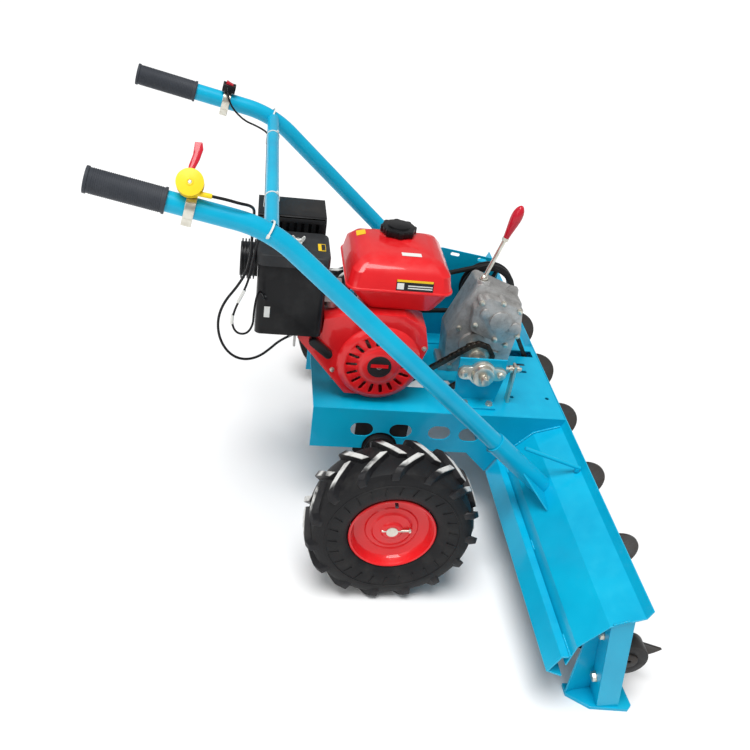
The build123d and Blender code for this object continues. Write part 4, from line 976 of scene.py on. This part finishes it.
def decal(name, under, start, across, down, cast, width, height, slot, lift):
    """A thin printed patch with no lettering, laid on the surfaces that a ray along cast meets first."""
    across = Vector(across)
    down = Vector(down)
    cast = Vector(cast)
    trees = []
    for node in under:
        points = [vertex.co for vertex in nodes[node].data.vertices]
        faces = [face.vertices for face in nodes[node].data.polygons]
        trees.append(BVHTree.FromPolygons(points, faces))
    columns = max(2, int(width / 0.004))
    rows = max(2, int(height / 0.004))
    bm = bmesh.new()
    grid = {}
    for column in range(columns + 1):
        for row in range(rows + 1):
            origin = Vector(start) + across * width * (column / columns - 0.5)
            origin += down * height * (row / rows - 0.5)
            hits = [tree.ray_cast(origin, cast, 1.0) for tree in trees]
            hits = sorted((hit for hit in hits if hit[0] is not None), key=lambda hit: hit[3])
            if hits:
                grid[column, row] = bm.verts.new(hits[0][0] - cast * lift)
    for column in range(columns):
        for row in range(rows):
            corners = [(column, row), (column + 1, row), (column + 1, row + 1), (column, row + 1)]
            if all(corner in grid for corner in corners):
                bm.faces.new([grid[corner] for corner in corners])
    if not bm.faces:
        bm.free()
        return None
    bmesh.ops.recalc_face_normals(bm, faces=bm.faces)
    if bm.faces[0].normal.dot(cast) > 0:
        bmesh.ops.reverse_faces(bm, faces=bm.faces)
    extruded = bmesh.ops.extrude_face_region(bm, geom=list(bm.faces))
    moved = [item for item in extruded["geom"] if isinstance(item, bmesh.types.BMVert)]
    bmesh.ops.translate(bm, vec=-cast * 0.0004, verts=moved)
    mesh = mesh_from(bm, name)
    mesh.materials.append(finishes[slot])
    return new_piece(name, mesh, "", "root")


def add_handle_tubes():
    """Both handle tubes, each bent in one easy sweep from the grip to the socket."""
    bend = Vector((-0.265, 0.0, 0.798))
    grip_way = Vector((-0.9806, 0.0, 0.1961))
    foot_way = Vector((0.7482, 0.0, -0.6635))
    radius = 0.230
    half_turn = math.acos(-grip_way.dot(foot_way)) / 2
    reach = radius * math.tan(half_turn)
    for name, y in (("right", -0.332), ("left", 0.332)):
        middle = bend + Vector((0, y, 0))
        points = [middle + grip_way * 0.3215, middle + grip_way * (reach + 0.002)]
        inward = (grip_way + foot_way).normalized()
        centre = middle + inward * (radius / math.cos(half_turn))
        for step in range(17):
            turn = -half_turn + 2 * half_turn * step / 16
            way = -inward * math.cos(turn) + Vector((inward.z, 0, -inward.x)) * math.sin(turn)
            points.append(centre + way * radius)
        points += [middle + foot_way * (reach + 0.002), middle + foot_way * 0.857]
        if (points[2] - points[1]).length > (points[-3] - points[1]).length:
            points[2:-2] = reversed(points[2:-2])
        mesh = tube_mesh("handle_" + name, points, 0.019, finishes["blue_paint"], 40)
        new_piece("handle_" + name, mesh, "blue_paint", "root", ["handle_tube_" + name])


def add_wing_nut():
    """A white wing nut: tapered hub and two upright ears."""
    centre = Vector((-0.199, -0.086, 0.6606))
    profile = [
        (0.0032, 0.0), (0.0090, 0.0), (0.0090, 0.002), (0.0068, 0.0030), (0.0058, 0.0090), (0.0032, 0.0098)
    ]
    hub = turned_mesh("wing_hub", profile, centre, (0, 0, 1), finishes["white_plastic"], 32)
    new_piece("wing_nut_hub", hub, "white_plastic", "filter_nut", ["wing_nut"])
    for name, side in (("left", -1), ("right", 1)):
        outline = [(0.0035, 0.002), (0.0075, 0.0015), (0.0125, 0.0060), (0.0148, 0.0120), (0.0138, 0.0158),
                   (0.0110, 0.0164), (0.0080, 0.0130), (0.0050, 0.0088)]
        bm = bmesh.new()
        front = [bm.verts.new(centre + Vector((side * x, -0.0016, z))) for x, z in outline]
        rear = [bm.verts.new(centre + Vector((side * x, 0.0016, z))) for x, z in outline]
        bm.faces.new(front)
        bm.faces.new(list(reversed(rear)))
        for index in range(len(outline)):
            nxt = (index + 1) % len(outline)
            bm.faces.new((front[index], rear[index], rear[nxt], front[nxt]))
        bmesh.ops.recalc_face_normals(bm, faces=bm.faces)
        bmesh.ops.bevel(bm, geom=bm.edges, offset=0.0005, segments=1, affect="EDGES")
        mesh = mesh_from(bm, "wing_" + name)
        mesh.materials.append(finishes["white_plastic"])
        new_piece("wing_nut_ear_" + name, mesh, "white_plastic", "filter_nut")


def add_grip_ribs(name, y):
    """Fine rings round a handle grip."""
    outward = Vector((-0.9806, 0.0, 0.1961))
    end = Vector((-0.5815, y, 0.8613))
    profile = [(0.0218, -0.0009), (0.0229, -0.0005), (0.0229, 0.0005), (0.0218, 0.0009)]
    unit = turned_mesh("rib", profile, (0, 0, 0), outward, finishes["grip_rubber"], 40)
    mesh = repeated(
        unit,
        "row",
        Count=34,
        Start=end - outward * 0.012,
        End=end - outward * 0.128,
        Uneven=0.0,
        Material=finishes["grip_rubber"],
    )
    smooth_by_angle(mesh, 40.0)
    return new_piece(name, mesh, "grip_rubber", "root")


def add_small_parts():
    """Cable ties, printed patches, the recoil badge and the tyre valves."""
    cord_side = (-0.012, 0.0, -0.0155)
    for name, y in (("tie_crossbar_right", -0.175), ("tie_crossbar_left", 0.19)):
        mesh = tie_mesh(
            name, (-0.262, y, 0.7915), (0, 1, 0), 0.0135, cord_side, 0.0023, finishes["white_plastic"]
        )
        new_piece(name, mesh, "white_plastic", "root")
    for name, y in (("tie_handle_right", -0.332), ("tie_handle_left", 0.332)):
        sign = 1 if y < 0 else -1
        mesh = tie_mesh(
            name,
            (-0.2668, y, 0.7945),
            (0.8957, 0.0, -0.4446),
            0.019,
            (0.0, sign * 0.0225, 0.003),
            0.0028,
            finishes["white_plastic"],
        )
        new_piece(name, mesh, "white_plastic", "root")
    for part, radius, height, slot in (
        ("rim", 0.0275, 0.0030, "label_black"), ("band", 0.0235, 0.0036, "label_black"),
        ("boss", 0.006, 0.0044, "zinc_steel"),
    ):
        profile = [
            (0.0, 0.0), (radius, 0.0), (radius, height - 0.0006), (radius - 0.0008, height), (0.0, height)
        ]
        disc = turned_mesh(
            "recoil_badge_" + part, profile, (0.004, -0.1458, 0.400), (0, -1, 0), finishes[slot], 64
        )
        new_piece("recoil_badge_" + part, disc, "zinc_steel" if part == "boss" else "", "root")
    across = Vector((1, 0, 0))
    decal(
        "badge_bar", ["recoil_cover"], (0.004, -0.200, 0.404), across, (0, 0, -1), (0, 1, 0), 0.040, 0.009,
        "red_paint", 0.0042
    )
    tank = ["fuel_tank"]
    front = ((0, 0, -1), (0, 1, 0))
    decal("tank_label", tank, (0.058, -0.25, 0.598), across, *front, 0.082, 0.022, "label_black", 0.0005)
    decal(
        "tank_label_stripe", tank, (0.058, -0.25, 0.6075), across, *front, 0.080, 0.0045, "label_yellow",
        0.0009
    )
    decal(
        "tank_label_mark", tank, (0.0265, -0.25, 0.596), across, *front, 0.015, 0.013, "label_white", 0.0009
    )
    decal(
        "tank_label_lines", tank, (0.070, -0.25, 0.5975), across, *front, 0.054, 0.0022, "label_white",
        0.0009
    )
    decal(
        "tank_label_lines_low", tank, (0.070, -0.25, 0.5925), across, *front, 0.054, 0.0022, "label_white",
        0.0009
    )
    down = ((0, -1, 0), (0, 0, -1))
    decal("tank_top_label", tank, (-0.052, 0.045, 0.75), across, *down, 0.020, 0.026, "label_yellow", 0.0005)
    decal("tank_top_strip", tank, (0.000, 0.078, 0.75), across, *down, 0.050, 0.010, "label_yellow", 0.0005)
    decal("tank_top_white", tank, (0.052, -0.062, 0.75), across, *down, 0.044, 0.016, "label_white", 0.0005)
    lid = ["air_cleaner_lid"]
    decal("cleaner_label", lid, (-0.149, -0.100, 0.75), across, *down, 0.016, 0.034, "label_yellow", 0.0004)
    decal(
        "cleaner_label_panel", lid, (-0.146, -0.100, 0.75), across, *down, 0.008, 0.028, "label_black",
        0.0008
    )
    case = ["air_cleaner_case"]
    decal("case_mark", case, (-0.256, -0.30, 0.525), across, *front, 0.012, 0.026, "label_white", 0.0005)
    for side, centre_y in (("right", -TRACK_HALF), ("left", TRACK_HALF)):
        outward = -1 if centre_y < 0 else 1
        stem = tube_mesh(
            "valve_" + side,
            [
                (0.030, centre_y + outward * 0.006, 0.187 + 0.078),
                (0.030, centre_y + outward * 0.040, 0.187 + 0.072)
            ],
            0.0036,
            finishes["grip_rubber"],
            12,
        )
        new_piece("valve_" + side, stem, "grip_rubber", "axle")


def add_throttle_details():
    """The centre screw of the throttle's cap, riding with its lever."""
    face = Vector((-0.406, -0.333, 0.870)) + Vector((0, -0.8, 0.6)) * 0.0121
    well = [(0.0036, 0.0), (0.0062, 0.0), (0.0062, 0.0008), (0.0052, 0.0012), (0.0036, 0.0008)]
    ring = turned_mesh("dial_ring", well, face, (0, -0.8, 0.6), finishes["yellow_plastic"], 40)
    new_piece("throttle_dial_ring", ring, "yellow_plastic", "throttle")
    head = [(0.0, -0.0004), (0.0034, -0.0004), (0.0034, 0.0006), (0.0028, 0.0010), (0.0, 0.0010)]
    screw = turned_mesh("dial_screw", head, face, (0, -0.8, 0.6), finishes["zinc_steel"], 32)
    new_piece("throttle_dial_screw", screw, "zinc_steel", "throttle")


def add_connectors():
    """Two sleeved connectors on the stop wire, beside the engine."""
    spots = (
        ((-0.3045, -0.2595, 0.632), (-0.3160, -0.2555, 0.602)),
        ((-0.3255, -0.2545, 0.572), (-0.3268, -0.2540, 0.552))
    )
    for index, (start, end) in enumerate(spots):
        sleeve = tube_mesh(f"connector_{index}", [start, end], 0.0034, finishes["white_plastic"], 16)
        new_piece(f"stop_wire_connector_{index}", sleeve, "white_plastic", "root")


def add_welds():
    """Weld beads where the painted frame's tubes and sheets meet."""
    for sign, side in ((-1, "right"), (1, "left")):
        y = sign * 0.1665
        add_weld("weld_hood_top_" + side, (0.398, y, 0.2525), (0.456, y, 0.2740), 0.0036)
        add_weld("weld_hood_back_" + side, (0.349, y, 0.1985), (0.395, y, 0.2505), 0.0036)
        add_weld("weld_post_" + side, (0.404, sign * 0.7495, 0.2555), (0.432, sign * 0.7495, 0.2660), 0.0030)
        add_weld(
            "weld_bead_end_" + side, (0.3415, sign * 0.748, 0.1670), (0.3415, sign * 0.700, 0.1670), 0.0030
        )
        add_weld(
            "weld_bead_start_" + side, (0.3415, sign * 0.215, 0.1670), (0.3415, sign * 0.180, 0.1670),
            0.0034
        )
        add_weld(
            "weld_bead_middle_" + side, (0.3415, sign * 0.470, 0.1670), (0.3415, sign * 0.445, 0.1670),
            0.0028
        )


add_chain(
    "drive_chain_links", "drive_chain", (0.255, 0.377), pitch_radius(18), (0.030, 0.187), pitch_radius(22),
    -0.042
)
add_chain(
    "auger_chain_links", "auger_chain", (0.305, 0.460), pitch_radius(14), (0.472, 0.136), pitch_radius(22),
    0.125
)
add_gear_lever()
add_handle_tubes()
add_wing_nut()
add_grip_ribs("grip_right_ribs", -0.332)
add_grip_ribs("grip_left_ribs", 0.332)
add_small_parts()
add_connectors()
add_throttle_details()
add_welds()


# ---------------------------------------------------------------- floor and light


def add_floor():
    """A pale floor, which is not part of the machine."""
    floor_finish = Finish("floor", roughness=0.75)
    floor_finish.colour(
        floor_finish.mix(floor_finish.noise(3.0), rgb(0.86, 0.86, 0.86), rgb(0.90, 0.90, 0.90))
    )
    bm = bmesh.new()
    bmesh.ops.create_grid(bm, x_segments=1, y_segments=1, size=FLOOR_HALF_WIDTH)
    floor = bpy.data.objects.new("floor", mesh_from(bm, "floor", recalc=False))
    floor.data.materials.append(floor_finish.material)
    bpy.context.scene.collection.objects.link(floor)


def light_room():
    """Even white light on the machine, and a brighter white behind it."""
    world = bpy.data.worlds.new("studio")
    world.use_nodes = True
    tree = world.node_tree
    room = tree.nodes["Background"]
    backdrop = tree.nodes.new("ShaderNodeBackground")
    for light, strength in ((room, ROOM_LIGHT), (backdrop, BACKDROP_LIGHT)):
        light.inputs["Color"].default_value = rgb(1.0, 1.0, 1.0)
        light.inputs["Strength"].default_value = strength
    ray = tree.nodes.new("ShaderNodeLightPath")
    choice = tree.nodes.new("ShaderNodeMixShader")
    tree.links.new(ray.outputs["Is Camera Ray"], choice.inputs[0])
    tree.links.new(room.outputs[0], choice.inputs[1])
    tree.links.new(backdrop.outputs[0], choice.inputs[2])
    tree.links.new(choice.outputs[0], tree.nodes["World Output"].inputs[0])
    bpy.context.scene.world = world
    bpy.context.scene.view_settings.view_transform = "Standard"


add_floor()
light_room()
lamp("SUN", "key", (-0.6, -1.0, 4.6), (0.0, 0.0, 0.0), 3.0, 35.0)
lamp("AREA", "panel", (-2.2, -2.4, 2.6), (0.1, 0.0, 0.4), 22, 2.0)
